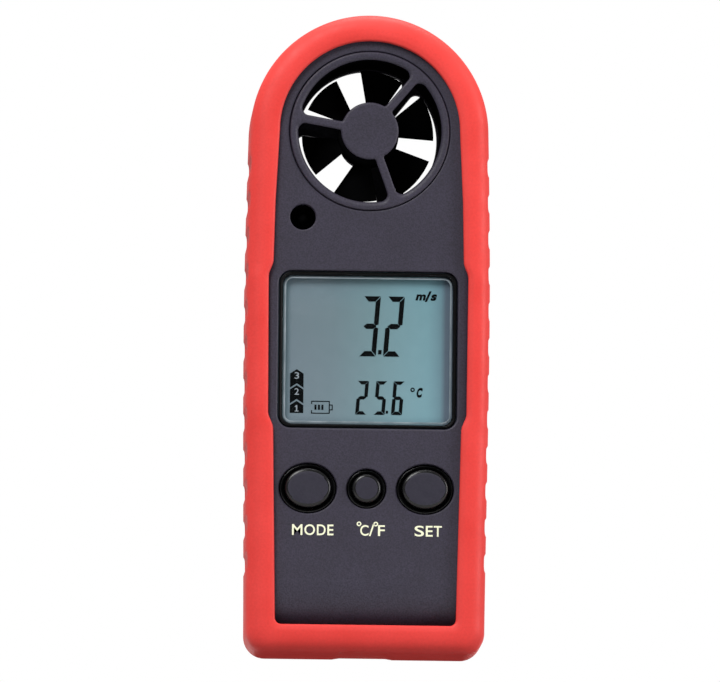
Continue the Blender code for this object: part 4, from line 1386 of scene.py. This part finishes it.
def make_camera():
    """Nearly head-on, a little from below and from the left, with the object leaning slightly."""
    azimuth, elevation, roll = radians(-2.1), radians(-6.2), radians(0.557)
    distance = 2200.0
    aim = Vector((-1.11, 0.0, 56.73))
    ahead = Vector((-sin(azimuth) * cos(elevation), cos(azimuth) * cos(elevation), -sin(elevation)))
    right = ahead.cross(Vector((0, 0, 1))).normalized()
    up = right.cross(ahead)
    axes = (right * cos(roll) + up * sin(roll), up * cos(roll) - right * sin(roll), -ahead)
    data = bpy.data.cameras.new("camera")
    data.sensor_width = 36.0
    data.lens = 614.6
    data.clip_start = 0.05
    data.clip_end = 20.0
    camera = linked("camera", data)
    place = Matrix.Translation((aim - ahead * distance) * MM)
    camera.matrix_world = place @ Matrix(axes).transposed().to_4x4()
    bpy.context.scene.camera = camera


def make_floor():
    """A pale floor, seen only from above because the camera looks up past its edge."""
    bm = bmesh.new()
    bmesh.ops.create_circle(bm, cap_ends=True, segments=96, radius=5.0 / MM)
    floor = new_object("floor", bm)
    floor.location.z = -0.02 * MM
    material = bpy.data.materials.new("floor_pale")
    graph = Graph(material)
    shader = graph.nodes["Principled BSDF"]
    shader.inputs["Base Color"].default_value = (0.86, 0.86, 0.85, 1.0)
    shader.inputs["Roughness"].default_value = 0.7
    clear = graph.add("BsdfTransparent", {}).outputs["BSDF"]
    # It fades out into the white round it, between 30 mm and 350 mm from the object.
    coords = graph.add("TexCoord", {}).outputs["Object"]
    away = graph.nodes.new("ShaderNodeVectorMath")
    away.operation = "LENGTH"
    graph.connect(coords, away.inputs[0])
    fade = graph.ranged(away.outputs["Value"], 0.03, 0.35, curve="SMOOTHSTEP")
    hidden = graph.add("Math", {0: graph.add("NewGeometry", {}).outputs["Backfacing"], 1: fade})
    hidden.operation = "MAXIMUM"
    seen = graph.mixed_shader(hidden.outputs["Value"], shader.outputs["BSDF"], clear)
    # The floor glows for diffuse rays: painted light that stands in for light bounced up to the foot,
    # which rests on the floor
    glow = graph.add("Emission", {"Strength": 0.38}).outputs["Emission"]
    bounced = graph.add("LightPath", {}).outputs["Is Diffuse Ray"]
    surface = graph.nodes["Material Output"].inputs["Surface"]
    graph.connect(graph.mixed_shader(bounced, seen, glow), surface)
    floor.data.materials.append(material)


def make_world():
    """White behind the object; softer light for everything else, dim from in front."""
    world = bpy.data.worlds.new("studio")
    bpy.context.scene.world = world
    graph = Graph(world)
    coords = graph.add("TexCoord", {}).outputs["Generated"]
    depth = graph.add("SeparateXYZ", {"Vector": coords}).outputs["Y"]
    strength = graph.nodes.new("ShaderNodeMix")
    strength.data_type = "FLOAT"
    graph.connect(graph.add("LightPath", {}).outputs["Is Camera Ray"], strength.inputs[0])
    graph.connect(graph.ranged(depth, -0.98, -0.6, 0.05, 0.47, "SMOOTHSTEP"), strength.inputs[2])
    graph.connect(1.0, strength.inputs[3])
    background = graph.nodes["Background"]
    graph.connect((*WHITE, 1.0), background.inputs["Color"])
    graph.connect(strength.outputs[0], background.inputs["Strength"])


def make_stage():
    make_camera()
    make_floor()
    make_world()
    area_light("key", (-360.0, -640.0, 720.0), 420.0, 480.0, 8.6)
    area_light("side", (620.0, -260.0, 160.0), 260.0, 520.0, 3.2)
    area_light("top", (40.0, 120.0, 700.0), 420.0, 420.0, 3.0)
    view = bpy.context.scene.view_settings
    view.view_transform = "Standard"
    view.look = "None"


make_boot()
make_front_shell()
make_rear_shell()
make_guard("front", FRONT_GUARD.y0, FRONT_WINDOW_R, FRONT_SPOKE_HALF, FRONT_SPOKE_ANGLES)
make_guard("rear", REAR_GUARD.y1, REAR_WINDOW_R, REAR_SPOKE_HALF, REAR_SPOKE_ANGLES)
make_tunnel()
make_wheel()
make_shaft()
make_sensor()
make_display()
make_readout()
make_key_mat()
for key_name in KEYS:
    make_key(key_name)
make_legends()
make_door()
make_cell()
make_holder()
make_screws()
dress_cad_nodes()
make_stage()

bpy.context.view_layer.update()
